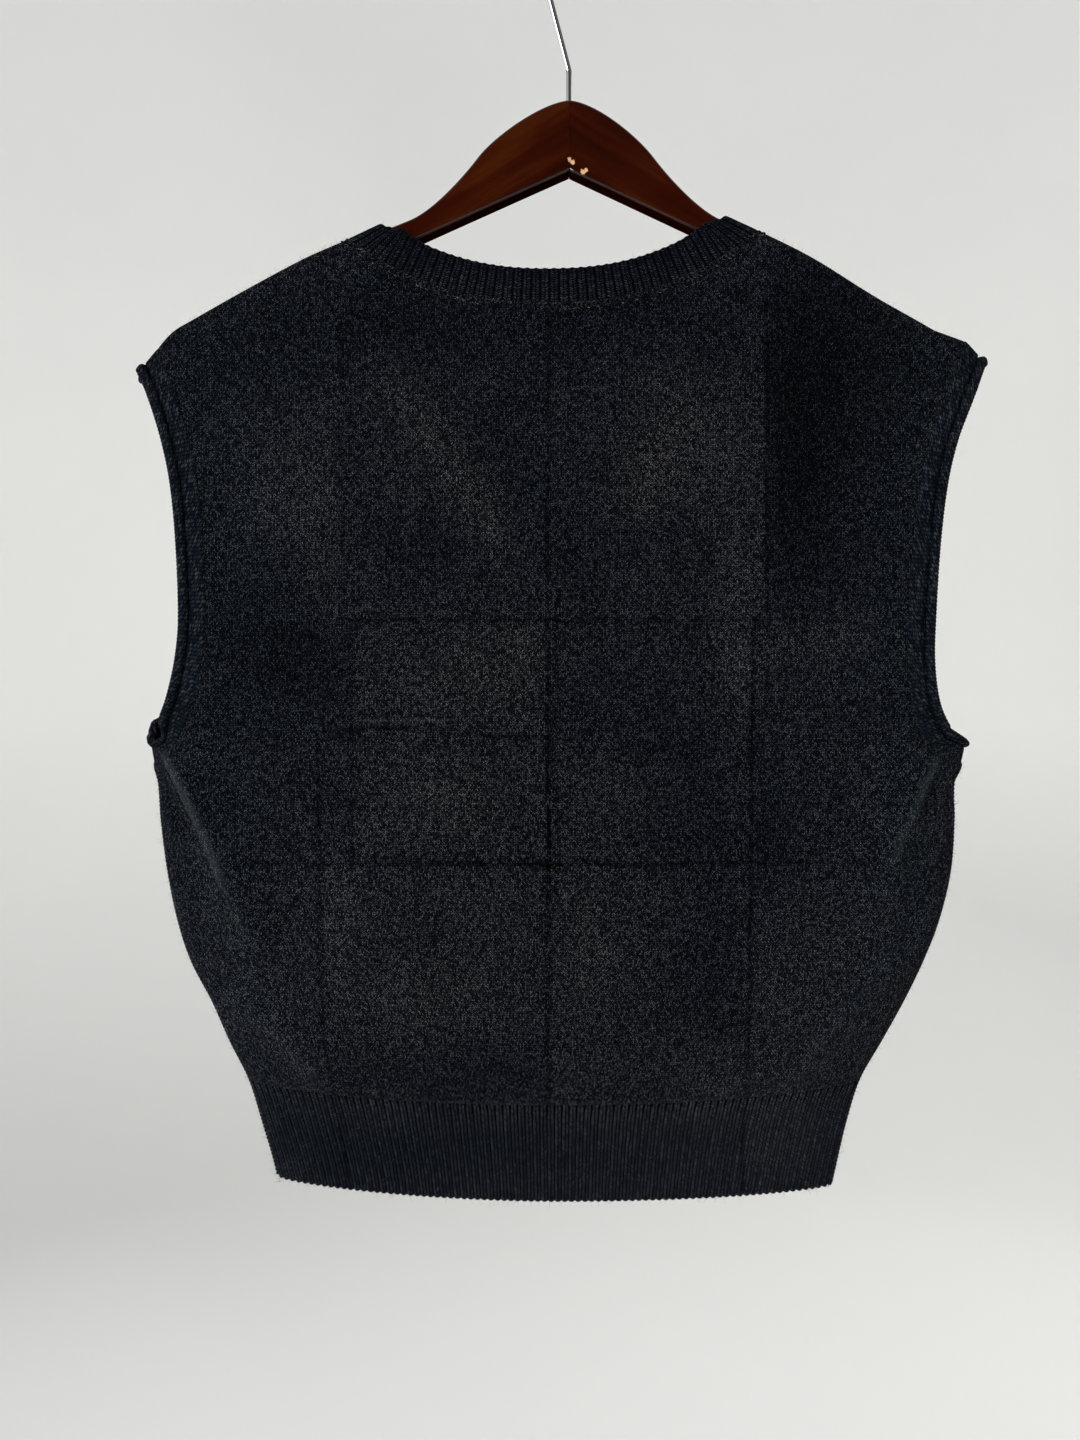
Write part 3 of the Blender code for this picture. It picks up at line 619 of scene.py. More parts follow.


# Creases and soft folds, left to right or downwards, with their sizes in millimetres. height is out of the
# panel; left and right are how wide it is on each side of its line (below and above, if level); power 1 is
# a pressed crease, 2 a soft fold; line is how dark the painted shade along its pressed line is or, with a
# minus, how light the painted highlight on its ridge.
Crease = namedtuple("Crease", "x0 z0 x1 z1 height left right power line")
CREASES = {
    "back": in_metres(Crease, 7, (
        (-12.2, -199, -12.5, -376, 1.1, 18, 9, 1, 0.5),
        (-12.5, -377, -12, -652, 1.2, 20, 9, 1, 0.85),
        (-128.8, -197.5, -128.5, -377, 0.9, 8, 18, 1, 0.45),
        (-123, -377, -122.5, -517, 0.9, 8, 18, 1, 0.5),
        (-142, -438, -137, -612, 1.2, 9, 20, 1, 0.8),
        (-137, -612, -124, -700, 1, 9, 20, 1, 0.8),
        (111.5, -197.5, 110.5, -422, 1.4, 20, 7, 1, 0.75),
        (103, -377, 97.5, -700, 1.1, 20, 7, 1, 0.9),
        (-132, -377.5, 20, -376.2, 0.9, 14, 6, 1, 0.7),
        (20, -376.2, 173, -377.8, 0.8, 14, 6, 1, 0.6),
        (-185, -512, -12, -513.5, 1, 16, 7, 1, 0.8),
        (-12, -513.5, 173, -512.5, 1, 16, 7, 1, 0.7),
        (-123, -439, -80, -437, -1.2, 4, 6, 2, 0.8),
        (-80, -440, -11, -443, -1, 4, 6, 2, 0.55),
        (-121, -433.5, -65, -433, 0.7, 3, 4, 2, -0.6),
        (26, -448, 88, -445, -0.6, 3, 4, 2, 0.3),
        (-220, -438, -175, -433, -0.7, 4, 5, 2, 0.45),
        (-89, -243, -39.1, -332, 2.6, 12, 16, 2, 0),
        (-39.1, -332, -13.9, -362, 1, 12, 14, 2, 0),
        (70, -233, 24.3, -301.7, 2.4, 15, 13, 2, 0),
        (-231, -452, -210.1, -490.6, 4.2, 3.4, 20, 2, -1.3),
        (-210.1, -490.6, -195, -524, 3.6, 4.4, 22, 2, -1.1),
        (-195, -524, -180, -556, 3, 6, 22, 2, -0.45),
        (-233, -460, -215, -496, -2.2, 4, 2.2, 2, 0.85),
        (-189.3, -587.6, -142, -634, 3.2, 10, 18, 2, -0.16),
        (207.8, -454, 195, -481, 3.6, 20, 3.6, 2, -1.05),
        (195, -481, 179, -514, 3, 20, 4.5, 2, -0.75),
        (214.6, -471.2, 216.4, -498.1, -0.4, 3, 2, 2, 0.45),
        (216.4, -498.1, 207.5, -547.9, -0.4, 3, 2, 2, 0.45),
        (207.5, -547.9, 193.2, -582.2, -0.4, 3, 2, 2, 0.4),
        (193.2, -582.2, 160, -644.5, -0.4, 3, 2, 2, 0.35),
        (208, -464, 198, -486, -1.8, 2.2, 4, 2, 0.6),
        (184, -560.7, 119.6, -642, 3, 18, 10, 2, -0.16),
        (-196, -330, -188, -420, -1.2, 8, 12, 2, 0),
        (195, -310, 185, -415, -1.2, 12, 8, 2, 0),
    )),
    "front": in_metres(Crease, 7, (
        (-8, -335, -8.5, -700, 1.2, 16, 10, 1, 0.8),
        (-129, -210, -131, -490, 1, 10, 18, 1, 0.6),
        (-133, -490, -127, -700, 1, 12, 18, 1, 0.7),
        (112, -205, 113, -440, 1.3, 18, 8, 1, 0.65),
        (104, -442, 101, -700, 1, 18, 9, 1, 0.7),
        (-165, -383, 158, -381.5, 0.9, 14, 7, 1, 0.65),
        (-178, -518, 170, -519.5, 1, 16, 8, 1, 0.7),
        (15, -445, 98, -440, -1, 5, 6, 2, 0.5),
        (-90, -462, -20, -460, -0.8, 4, 6, 2, 0.4),
        (-226, -458, -188, -520, 3.4, 7.5, 20, 2, -0.3),
        (218, -456, 185, -535, 3.6, 22, 7.5, 2, -0.3),
        (-180, -590, -135, -635, 3, 12, 18, 2, -0.3),
        (175, -580, 130, -638, 3.2, 18, 12, 2, -0.3),
        (-190, -300, -182, -410, -1.2, 10, 12, 2, 0),
        (188, -320, 180, -420, -1.1, 12, 10, 2, 0),
    )),
}
CREASE_WANDER = 0.0011
PRESSED_WANDER = 0.3
CREASE_FADE = 0.12
CREASE_REACH = 26
CREASE_TOP = 0.010
CREASE_FOOT = 0.03

# The pressed creases divide each panel into cells: columns A to D from the left, rows 1 to 3 from the top.
CELL_ROWS = (-0.3768, -0.5130)
CELL_COLUMNS = ((-0.1287, -0.0125, 0.1112), (-0.1228, -0.0125, 0.1010), (-0.1370, -0.0122, 0.0985))
CELL_SOFT = 0.0016
# The darkest that the painted shade of the nap may go.
DARKEST_PAINTED_SHADE = 0.2

# Places where painted sheen makes the nap lighter, or painted shade makes it darker, than the rest, in
# millimetres, turned anticlockwise by their degrees. Each one that names cells stops at their creases.
Patch = namedtuple("Patch", "x z wide high turn tone cells")
PATCHES = {
    "back": in_metres(Patch, 4, (
        (-168, -222, 62, 36, 20, -0.36, ""),
        (-162, -302, 34, 60, 30, 0.28, "A1"),
        (-139, -318, 14, 50, 0, 0.26, "A1"),
        (-180, -378, 42, 46, 10, -0.42, "A1 A2"),
        (-146, -402, 26, 40, 0, -0.36, "A2"),
        (-60, -205, 90, 30, 0, -0.4, "B1 C1"),
        (50, -200, 70, 32, 0, -0.3, "C1"),
        (-89, -258, 12, 30, 38, 0.42, "B1"),
        (-58, -303, 13, 36, 36, 0.5, "B1"),
        (-6, -316, 26, 40, 0, -0.26, "B1 C1"),
        (-84, -338, 26, 22, 0, -0.3, "B1"),
        (-30, -275, 18, 40, 20, -0.25, "B1"),
        (64, -282, 40, 48, 0, 0.34, "C1"),
        (48, -290, 12, 28, -36, 0.42, "C1"),
        (95, -355, 16, 60, 0, 0.4, "C1"),
        (52, -328, 28, 15, 8, -0.28, "C1"),
        (20, -262, 22, 18, 0, -0.2, "C1"),
        (140, -225, 60, 72, 0, -0.76, "D1"),
        (130, -315, 22, 60, 0, -0.58, "D1"),
        (168, -350, 30, 40, 0, -0.2, "D1"),
        (-72, -408, 60, 28, 0, 0.3, "B2"),
        (-78, -478, 50, 26, 0, 0.38, "B2"),
        (-28, -400, 16, 34, 0, 0.22, "B2"),
        (40, -430, 50, 32, 0, -0.2, "C2"),
        (78, -488, 24, 30, 0, -0.3, "C2"),
        (20, -480, 30, 26, 0, 0.14, "C2"),
        (94, -404, 12, 26, 0, 0.75, "C2"),
        (112, -398, 8, 20, 0, 0.25, "D2"),
        (145, -385, 40, 12, 14, 0.28, "D1 D2"),
        (112, -498, 18, 36, 0, -0.42, "D2 D3"),
        (182, -480, 20, 34, -20, 0.32, "D2"),
        (-128, -545, 14, 44, 6, 0.42, "B3"),
        (-96, -600, 22, 22, 30, 0.3, "B3"),
        (-75, -570, 50, 55, 0, 0.26, "B3"),
        (-60, -630, 70, 24, 0, -0.3, "B3"),
        (8, -552, 26, 52, 0, 0.26, "C3"),
        (80, -560, 20, 50, 0, -0.2, "C3"),
        (78, -640, 34, 22, 0, 0.26, "C3"),
        (152, -560, 36, 46, -25, 0.3, "D3"),
        (128, -610, 24, 34, -25, 0.32, "D3"),
        (120, -670, 40, 30, 0, 0.3, "D3"),
        (-162, -545, 20, 50, 10, 0.14, "A3"),
        (-224, -500, 9, 50, 10, -0.34, ""),
        (-196, -540, 11, 50, 27, 0.34, ""),
        (-164, -612, 7, 34, 44, 0.34, ""),
        (-70, -675, 90, 20, 0, -0.22, ""),
    )),
    "front": in_metres(Patch, 4, (
        (-150, -250, 50, 45, 15, -0.36, "A1"),
        (-60, -345, 30, 30, 0, 0.3, "B1"),
        (60, -330, 30, 40, 20, -0.28, "C1"),
        (150, -290, 34, 60, 0, 0.3, "D1"),
        (-170, -440, 30, 44, 0, 0.26, "A2"),
        (-70, -440, 45, 36, 0, -0.26, "B2"),
        (40, -450, 40, 40, 0, 0.3, "C2"),
        (150, -450, 30, 44, 0, -0.34, "D2"),
        (-150, -570, 30, 50, -10, -0.26, "A3"),
        (-80, -560, 36, 44, 0, 0.34, "B3"),
        (30, -600, 45, 40, 0, -0.24, "C3"),
        (145, -560, 30, 46, 15, 0.32, "D3"),
        (60, -680, 70, 18, 0, 0.22, ""),
    )),
}

# Gentle waves of the whole cloth: wavelengths across and down, phase and height.
Wave = namedtuple("Wave", "across down phase height")
WAVES = (
    Wave(0.171, 0.260, 0.4, 0.0006),
    Wave(-0.118, 0.140, 2.1, 0.0004),
    Wave(0.083, -0.190, 4.0, 0.0003),
    Wave(0.052, 0.078, 1.3, 0.00016),
)
# How a crease wanders off its line: two ripples, with how fast they go down and across, phase and share.
RIPPLES = ((71, 13, 0, 1), (173, -151, 1.7, 0.6))


def crease_relief(panel, x, z):
    """How far the creases and waves move a panel out."""
    lift = np.zeros_like(x)
    turn = 0 if panel == "back" else math.pi
    for wave in WAVES:
        lift += wave.height * np.sin(math.tau * (x / wave.across + z / wave.down) + wave.phase + turn)
    ripples = (share * np.sin(z * down + x * across + phase) for down, across, phase, share in RIPPLES)
    wander = CREASE_WANDER * sum(ripples)
    for crease in CREASES[panel]:
        dx, dz = crease.x1 - crease.x0, crease.z1 - crease.z0
        length = math.hypot(dx, dz)
        past = ((x - crease.x0) * dx + (z - crease.z0) * dz) / length
        off = ((x - crease.x0) * -dz + (z - crease.z0) * dx) / length
        off += wander * (PRESSED_WANDER if crease.power == 1 else 1)
        width = np.where(off > 0, crease.right, crease.left)
        ends = np.clip(np.minimum(past, length - past) / (length * CREASE_FADE) + 0.5, 0, 1)
        lift += crease.height * ends * np.exp(-np.abs(off / width) ** crease.power)
    return lift


def band_share(at, low, high):
    """How much of a place lies between two lines, which are soft."""
    return np.clip((at - low) / CELL_SOFT + 0.5, 0, 1) * np.clip((high - at) / CELL_SOFT + 0.5, 0, 1)


def cell_share(x, z):
    """How much of a place is in each cell, from its letter and number."""
    shares = {}
    tops = (1.0,) + CELL_ROWS
    bottoms = CELL_ROWS + (-2.0,)
    for row, (top, bottom, columns) in enumerate(zip(tops, bottoms, CELL_COLUMNS), 1):
        in_row = band_share(z, bottom, top)
        for letter, left, right in zip("ABCD", (-1.0,) + columns, columns + (1.0,)):
            shares[letter + str(row)] = in_row * band_share(x, left, right)
    return shares


def tone_and_painted_light(panel, x, z):
    """How light the nap looks, about 1: painted sheen and painted shade, patch by patch."""
    tone = np.ones_like(x)
    shares = cell_share(x, z)
    for patch in PATCHES[panel]:
        turn = math.radians(patch.turn)
        right = (x - patch.x) * math.cos(turn) + (z - patch.z) * math.sin(turn)
        upward = (z - patch.z) * math.cos(turn) - (x - patch.x) * math.sin(turn)
        lies = np.exp(-((right / patch.wide) ** 2) - (upward / patch.high) ** 2)
        if patch.cells:
            lies *= sum(shares[cell] for cell in patch.cells.split())
        tone += patch.tone * lies
    return np.maximum(tone, DARKEST_PAINTED_SHADE)


WALE = 0.0019
COURSE = 0.0013
WIDEST = 0.2300
DRAWN_IN = 0.8
NECK_COLUMNS = 62
SHOULDER_COLUMNS = 42
NECK_CORNER = (0.0060, 0.0045, 0.0032, 0.0021, 0.0012, 0.0006, 0.0002)
ROWS_LOW = 74
ROWS_HIGH = 92
ROWS_EASE = 1.3
TOP_ROWS = (0.0058, 0.0048, 0.0039, 0.0031, 0.0024, 0.0018, 0.0013, 0.0009, 0.0005, 0.0002)


def side_columns(side):
    """The places of the mesh's columns on one side of the middle, out to the seam."""
    neck = NECK_HALF[side]
    even = np.arange(1, NECK_COLUMNS) / NECK_COLUMNS * (neck - NECK_CORNER[0])
    share = np.sin(np.pi / 2 * np.arange(SHOULDER_COLUMNS + 1) / SHOULDER_COLUMNS)
    outer = neck + (tip_half(side) - neck) * share
    return np.concatenate([even, neck - np.array(NECK_CORNER), outer]) / tip_half(side)


def panel_rows():
    """The places of the mesh's rows, closer over the shoulder's turn."""
    height = (TIP_Z - UNDERARM_Z) / (1 - UNDERARM_UP)
    low = np.linspace(0, UNDERARM_UP, ROWS_LOW)
    high = UNDERARM_UP + (1 - UNDERARM_UP) * (np.arange(1, ROWS_HIGH) / ROWS_HIGH) ** ROWS_EASE
    turn = 1 - np.array(TOP_ROWS) / height
    return np.concatenate([low, high[high < turn[0] - 0.002], turn, [1.0]])


FACE_CORNERS = ((0, 0), (0, 1), (1, 1), (1, 0))


def cloth_mesh(name, points, faces, stitches, tone):
    """A smooth mesh with its stitch coordinates as a UV map, and at each point its tone with any painted
    light and shade.
    """
    mesh = bpy.data.meshes.new(name)
    mesh.from_pydata(points.reshape(-1, 3).tolist(), [], faces.tolist())
    layer = mesh.uv_layers.new(name="stitches")
    layer.data.foreach_set("uv", stitches.astype(np.float32).ravel())
    tone_and_light = mesh.attributes.new("tone_and_painted_light", "FLOAT", "POINT")
    tone_and_light.data.foreach_set("value", tone.astype(np.float32).ravel())
    mesh.shade_smooth()
    return mesh


def open_grid(name, points, stitches, tone, outward):
    """A sheet of faces through a grid of points, rows by columns."""
    rows, columns = points.shape[:2]
    j, i = np.meshgrid(np.arange(rows - 1), np.arange(columns - 1), indexing="ij")
    faces = [(j + a) * columns + i + b for a, b in FACE_CORNERS]
    faces = np.stack(faces, axis=-1).reshape(-1, 4)
    if not outward:
        faces = faces[:, ::-1]
    return cloth_mesh(name, points, faces, stitches.reshape(-1, 2)[faces.ravel()], tone)


def unit(vectors):
    """Vectors brought to length 1."""
    return vectors / np.maximum(np.linalg.norm(vectors, axis=-1, keepdims=True), 1e-12)


def tube_mesh(name, paths, radii, sides, tone):
    """Many short tubes in one mesh. paths and radii are by tube and step, and tone by tube."""
    count, steps = paths.shape[:2]
    along = unit(np.gradient(paths, axis=1))
    helper = np.where(np.abs(along[..., 2:]) > 0.8, np.array([1.0, 0, 0]), np.array([0, 0, 1.0]))
    right = unit(np.cross(along, helper))
    front = np.cross(along, right)
    angle = math.tau * np.arange(sides) / sides
    ring = right[:, :, None] * np.cos(angle)[:, None] + front[:, :, None] * np.sin(angle)[:, None]
    points = paths[:, :, None] + radii[:, :, None, None] * ring
    n, j, i = np.meshgrid(np.arange(count), np.arange(steps - 1), np.arange(sides), indexing="ij")
    faces = [(n * steps + j + a) * sides + (i + b) % sides for a, b in FACE_CORNERS]
    stitches = [np.stack([(i + b) / sides * 2, (j + a) / steps * 2 + n], axis=-1) for a, b in FACE_CORNERS]
    faces = np.stack(faces, axis=-1).reshape(-1, 4)
    stitches = np.stack(stitches, axis=-2).reshape(-1, 2)
    return cloth_mesh(name, points, faces, stitches, np.repeat(tone, steps * sides))


def thicken(piece, thick):
    """Give a sheet its thickness, half on each side."""
    wall = piece.modifiers.new("Thickness", "SOLIDIFY")
    wall.thickness = thick
    wall.offset = 0


# Colours of the wool: blue-black under painted shade, greyer under painted sheen, and bluer again towards the
# sides, with a painted sheen where they catch the light.
WOOL_UNDER_PAINTED_SHADE = (0.0115, 0.0134, 0.0172, 1)
WOOL_UNDER_PAINTED_SHEEN = (0.0150, 0.0150, 0.0172, 1)
WOOL_SIDE = (0.0116, 0.0137, 0.0168, 1)
WOOL_SIDE_AT = 0.20
IN_THE_FURROWS = (0.55, 0.84, 1.28, 1)
ON_THE_TIPS = (1.06, 1.01, 0.96, 1)
# Sizes of the painted shade along pressed lines and of the painted highlight on folds' ridges.
LINE_HALF_WIDTH = 0.0024
RIDGE_SHARE = 0.34
RIDGE_HIGHLIGHT_GRAIN = 0.35
RIDGE_HIGHLIGHT_EVEN = 0.60
LINE_CORE = 0.0003
LINE_FADE = 0.005
LINE_WANDER = 0.0036
# By how many legs a stitch has, as seen: how unevenly it lies, and how its legs slant.
UNEVEN = {2: (0.18, 0.6, 0), 1: (0.10, 0.8, 0)}
SLANT = {2: -0.9, 1: 0.8}
BETWEEN_RIDGES = 0.6
PALEST_STITCH = 3.4
PLAIN_STITCH = (1.02, -0.85)
FIBRE_GRAIN = (5.5, 5.0, 1.0)
# Painted shade in the stitches' furrows: how the tone falls from the top of each leg down to the furrow.
RELIEF_POWER = 1.6
FURROW_PAINTED_SHADE = 0.05
RELIEF_TONE = 1.54
# Painted glint on the palest stitches.
GLINT = 0.7
GLINT_FROM = 1.6
FUZZ_GRAIN = 2600.0
FUZZ_SHARE = 0.5
CLOUD_GRAIN = 28.0
CLOUD_TONES = (0.84, 1.16)
PAINTED_SHEEN_RANGE = (0.75, 1.3)
SHADE_TINT_TONES = (0.15, 1.3)
WOOL_MIDDLE_TO = 0.05


def painted_crease_lines(wool, panel):
    """How much painted shade along a pressed crease's line, and how much painted highlight on a fold's ridge,
    is at a place.
    """
    wander = wool.math("MULTIPLY_ADD", wool.noise(wool.place, 24.0), LINE_WANDER, -LINE_WANDER / 2)
    crease_shade = raised = 0.0
    for crease in CREASES[panel]:
        if not crease.line:
            continue
        start, end = Vector((crease.x0, 0, crease.z0)), Vector((crease.x1, 0, crease.z1))
        way = (end - start).normalized()
        across = Vector((-way.z, 0, way.x))
        off = wool.vector("DOT_PRODUCT", wool.place, tuple(across), out="Value")
        past = wool.vector("DOT_PRODUCT", wool.place, tuple(way), out="Value")
        line, first, last = across.dot(start), way.dot(start), way.dot(end)
        left, right = crease.left * RIDGE_SHARE, crease.right * RIDGE_SHARE
        if crease.line > 0:
            off = wool.math("ADD", off, wander)
            left = right = LINE_HALF_WIDTH
        on_line = abs(crease.line)
        for value, outside, inside in (
            (off, line - left, line - LINE_CORE), (off, line + right, line + LINE_CORE),
            (past, first - LINE_FADE, first + LINE_FADE), (past, last + LINE_FADE, last - LINE_FADE),
        ):
            on_line = wool.times(wool.span(value, outside, inside, interpolation_type="SMOOTHSTEP"), on_line)
        if crease.line > 0:
            # Painted shade for a pressed line, painted highlight for a fold's ridge.
            crease_shade = wool.math("ADD", crease_shade, on_line)
        else:
            raised = wool.math("ADD", raised, on_line)
    # Noise that breaks up the painted shade of the lines and varies its depth.
    shade_gaps = wool.span(wool.noise(wool.place, 260.0), 0.25, 0.55)
    shade_depth = wool.span(wool.noise(wool.place, 17.0, 3.0), 0.35, 0.62, 0.50, 1.15)
    return wool.times(crease_shade, shade_gaps, shade_depth), raised


def knitted(name, face=1.0, legs=2, light=1.0, grain=1.0, panel=None):
    """Knitted wool. A wale seen from its face has two slanting legs to each stitch, and a ridge knitted
    across has one. face is how much of each wale is raised before the furrow between ribs, light how light
    the wool is, and grain how much its stitches differ. The colour darkens into the furrows as painted shade,
    and takes the painted sheen and shade that the mesh carries. A panel's name gives it that panel's lines:
    painted shade along its pressed creases and a painted highlight on its folds' ridges.
    """
    wool = Finish(name)
    stitches = wool.node("UVMap", uv_map="stitches").outputs[0]
    uneven = wool.node("TexNoise", {"Vector": stitches, "Scale": 0.35, "Detail": 2.0}).outputs["Color"]
    uneven = wool.vector("SUBTRACT", uneven, (0.5, 0.5, 0.5))
    stitches = wool.vector("MULTIPLY_ADD", uneven, UNEVEN[legs], stitches)
    wale, course = wool.apart(stitches)[:2]
    half = wool.math("SUBTRACT", wool.math("FRACT", wale), 0.5)
    out = wool.times(wool.math("ABSOLUTE", half), 2 / face)
    if legs == 2:
        leg = wool.math("MULTIPLY_ADD", out, SLANT[legs], course)
        bulge = wool.math("ABSOLUTE", wool.math("MULTIPLY_ADD", out, 2.0, -1.0))
        bulge = wool.math("SUBTRACT", 1.0, wool.math("POWER", bulge, 3.0))
        between = 0.0
    else:
        leg = wool.math("MULTIPLY_ADD", half, SLANT[legs], course)
        bulge = wool.math("SUBTRACT", 1.0, wool.math("POWER", out, 2.0))
        between = BETWEEN_RIDGES
    rise = wool.math("SINE", wool.times(wool.math("FRACT", leg), math.pi))
    rise = wool.math("MULTIPLY_ADD", rise, 1 - between, between)
    height = wool.times(rise, wool.math("MAXIMUM", bulge, 0.0))
    cell = {0: wool.math("FLOOR", wool.times(wale, float(legs))), 1: wool.math("FLOOR", wool.times(leg, 2.0))}
    cell = wool.node("CombineXYZ", cell).outputs[0]
    pick = wool.node("TexWhiteNoise", {"Vector": cell}, noise_dimensions="3D").outputs["Value"]
    plain = PLAIN_STITCH[0] + PLAIN_STITCH[1] * grain
    pick = wool.math("MULTIPLY_ADD", wool.math("POWER", pick, 3.0), PALEST_STITCH * grain, plain)
    fibre = wool.noise(wool.vector("MULTIPLY", stitches, FIBRE_GRAIN), 1.0, 5.0)
    fibre = wool.span(fibre, 0.34, 0.66, 0.0, 2.0)
    cloud = wool.span(wool.noise(wool.place, CLOUD_GRAIN, 5.0), 0.3, 0.7, *CLOUD_TONES)
    tone_and_light = wool.node("Attribute", attribute_name="tone_and_painted_light").outputs["Fac"]
    # Painted shade: the tone falls towards the furrows between the stitches' legs.
    tone = wool.math("MULTIPLY_ADD", wool.math("POWER", height, RELIEF_POWER), RELIEF_TONE, FURROW_PAINTED_SHADE)
    tone = wool.times(tone, pick, fibre, cloud, tone_and_light, light)
    # Painted glint: the palest stitches get extra lightness on their raised legs, as though they caught the
    # light.
    glint = wool.times(wool.math("MAXIMUM", wool.math("SUBTRACT", pick, GLINT_FROM), 0.0), height)
    tone = wool.math("MULTIPLY_ADD", glint, GLINT * light, tone)
    if panel:
        # Painted shade along the pressed creases' lines, and painted highlight on the folds' ridges.
        crease_shade, raised = painted_crease_lines(wool, panel)
        tone = wool.times(tone, wool.math("SUBTRACT", 1.0, crease_shade))
        highlight_grain = wool.math("MULTIPLY_ADD", fibre, RIDGE_HIGHLIGHT_GRAIN, RIDGE_HIGHLIGHT_EVEN)
        tone = wool.math("MULTIPLY_ADD", raised, highlight_grain, tone)
    aside = wool.math("ABSOLUTE", wool.math("SUBTRACT", wool.apart(wool.place)[0], VEST_X))
    # Painted light in the colour: blue-black under painted shade, greyer under painted sheen, bluer at the
    # sides, and bluer again where the tone is dark.
    dye_and_painted_light = wool.blend(wool.span(tone_and_light, *PAINTED_SHEEN_RANGE), WOOL_UNDER_PAINTED_SHADE, WOOL_UNDER_PAINTED_SHEEN)
    dye_and_painted_light = wool.blend(wool.span(aside, WOOL_MIDDLE_TO, WOOL_SIDE_AT), dye_and_painted_light, WOOL_SIDE)
    tint = wool.blend(wool.span(tone, *SHADE_TINT_TONES), IN_THE_FURROWS, ON_THE_TIPS)
    dye_and_painted_light = wool.vector("MULTIPLY", dye_and_painted_light, tint)
    fuzz = wool.math("MULTIPLY_ADD", wool.noise(wool.place, FUZZ_GRAIN, 3.0), FUZZ_SHARE, height)
    return wool.surface({
        "Base Color": wool.scaled(dye_and_painted_light, tone),
        "Normal": wool.bump(fuzz, 0.75, 0.0006),
        "Roughness": 0.95,
        "Specular IOR Level": 0.02,
        "Sheen Weight": 0.022,
        "Sheen Roughness": 0.42,
        "Sheen Tint": (0.82, 0.92, 1.0, 1),
    })


columns = np.concatenate([-side_columns(-1)[::-1], [0.0], side_columns(1)])
across, up = np.meshgrid(columns, panel_rows())
knits = {}
for panel in ("back", "front"):
    points = place(panel, across, up)
    x, z = points[..., 0], points[..., 2]
    near_top = np.clip((shoulder_z(x) - z) / CREASE_TOP, 0, 1) * np.clip(up / CREASE_FOOT, 0, 1)
    out = crease_relief(panel, x, z) * (1 - np.abs(across) ** CREASE_REACH) * near_top
    points[..., 1] += -out if panel == "back" else out
    drawn_in = (WIDEST / half_width(across, np.minimum(z, UNDERARM_Z))) ** DRAWN_IN
    stitches = np.stack([(x - VEST_X) / WALE * drawn_in, z / COURSE], axis=-1)
    # The mesh carries the panel's painted sheen and shade as its tone.
    mesh = open_grid("knit_" + panel, points, stitches, tone_and_painted_light(panel, x, z), panel == "back")
    wool = knitted("plain_knit_" + panel, panel=panel)
    knits[panel] = worked("knit_" + panel, mesh, wool, "charcoal_knit", panel + "_panel")
    thicken(knits[panel], BODY_THICK)


# --- The hem's ribs ------------------------------------------------------------------------------------
# A deep one-by-one rib in the same wool, knitted on below each panel. It draws the vest in and its
# ribs fan out with the sides. It starts gradually out of the plain knit.
HEM_Z = -0.6985
HEM_SAG = 0.0065
HEM_LEFT_RISE = 0.0042
RIBS = 84
RIB_COLUMNS = 8
RIB_ROWS = 24
FINE_POINTS = 1201
RIB_WALL = 0.0017
RIB_DEPTH = 0.00046
RIB_AT_START = 0.12
RIB_STARTS_OVER = 0.16
RIB_FLAT_EDGE = 0.01
HEM_SCALLOP = 0.0003
HEM_TOP_TONE = 0.30
HEM_TOP_SHARE = 0.35


def place_rib(panel, across, up):
    """Points of a hem rib's middle face, from the hem's edge up to the panel."""
    low = HEM_Z - HEM_SAG * (1 - across**2) + HEM_LEFT_RISE * np.clip(-across, 0, 1) ** 1.5
    high = JOIN_Z - JOIN_SAG * (1 - across**2)
    z = low + (high - low) * up
    side_z = HEM_Z + (JOIN_Z - HEM_Z) * up
    x = VEST_X + across * half_width(across, side_z)
    fullness = np.sqrt(np.maximum(1 - across**FULLNESS, 0))
    y = SEAM_EDGE + (along_side("middle", z) - SEAM_EDGE) * fullness
    return np.stack([x, -y if panel == "back" else y, z], axis=-1)


def run_along(points):
    """The distance along a line at each of its points."""
    return np.concatenate([[0], np.cumsum(np.linalg.norm(np.diff(points, axis=0), axis=1))])


def evenly(values, points, count):
    """As many values as count, spread so that the points through them are evenly spaced."""
    run = run_along(points)
    return np.interp(np.linspace(0, run[-1], count), run, values)


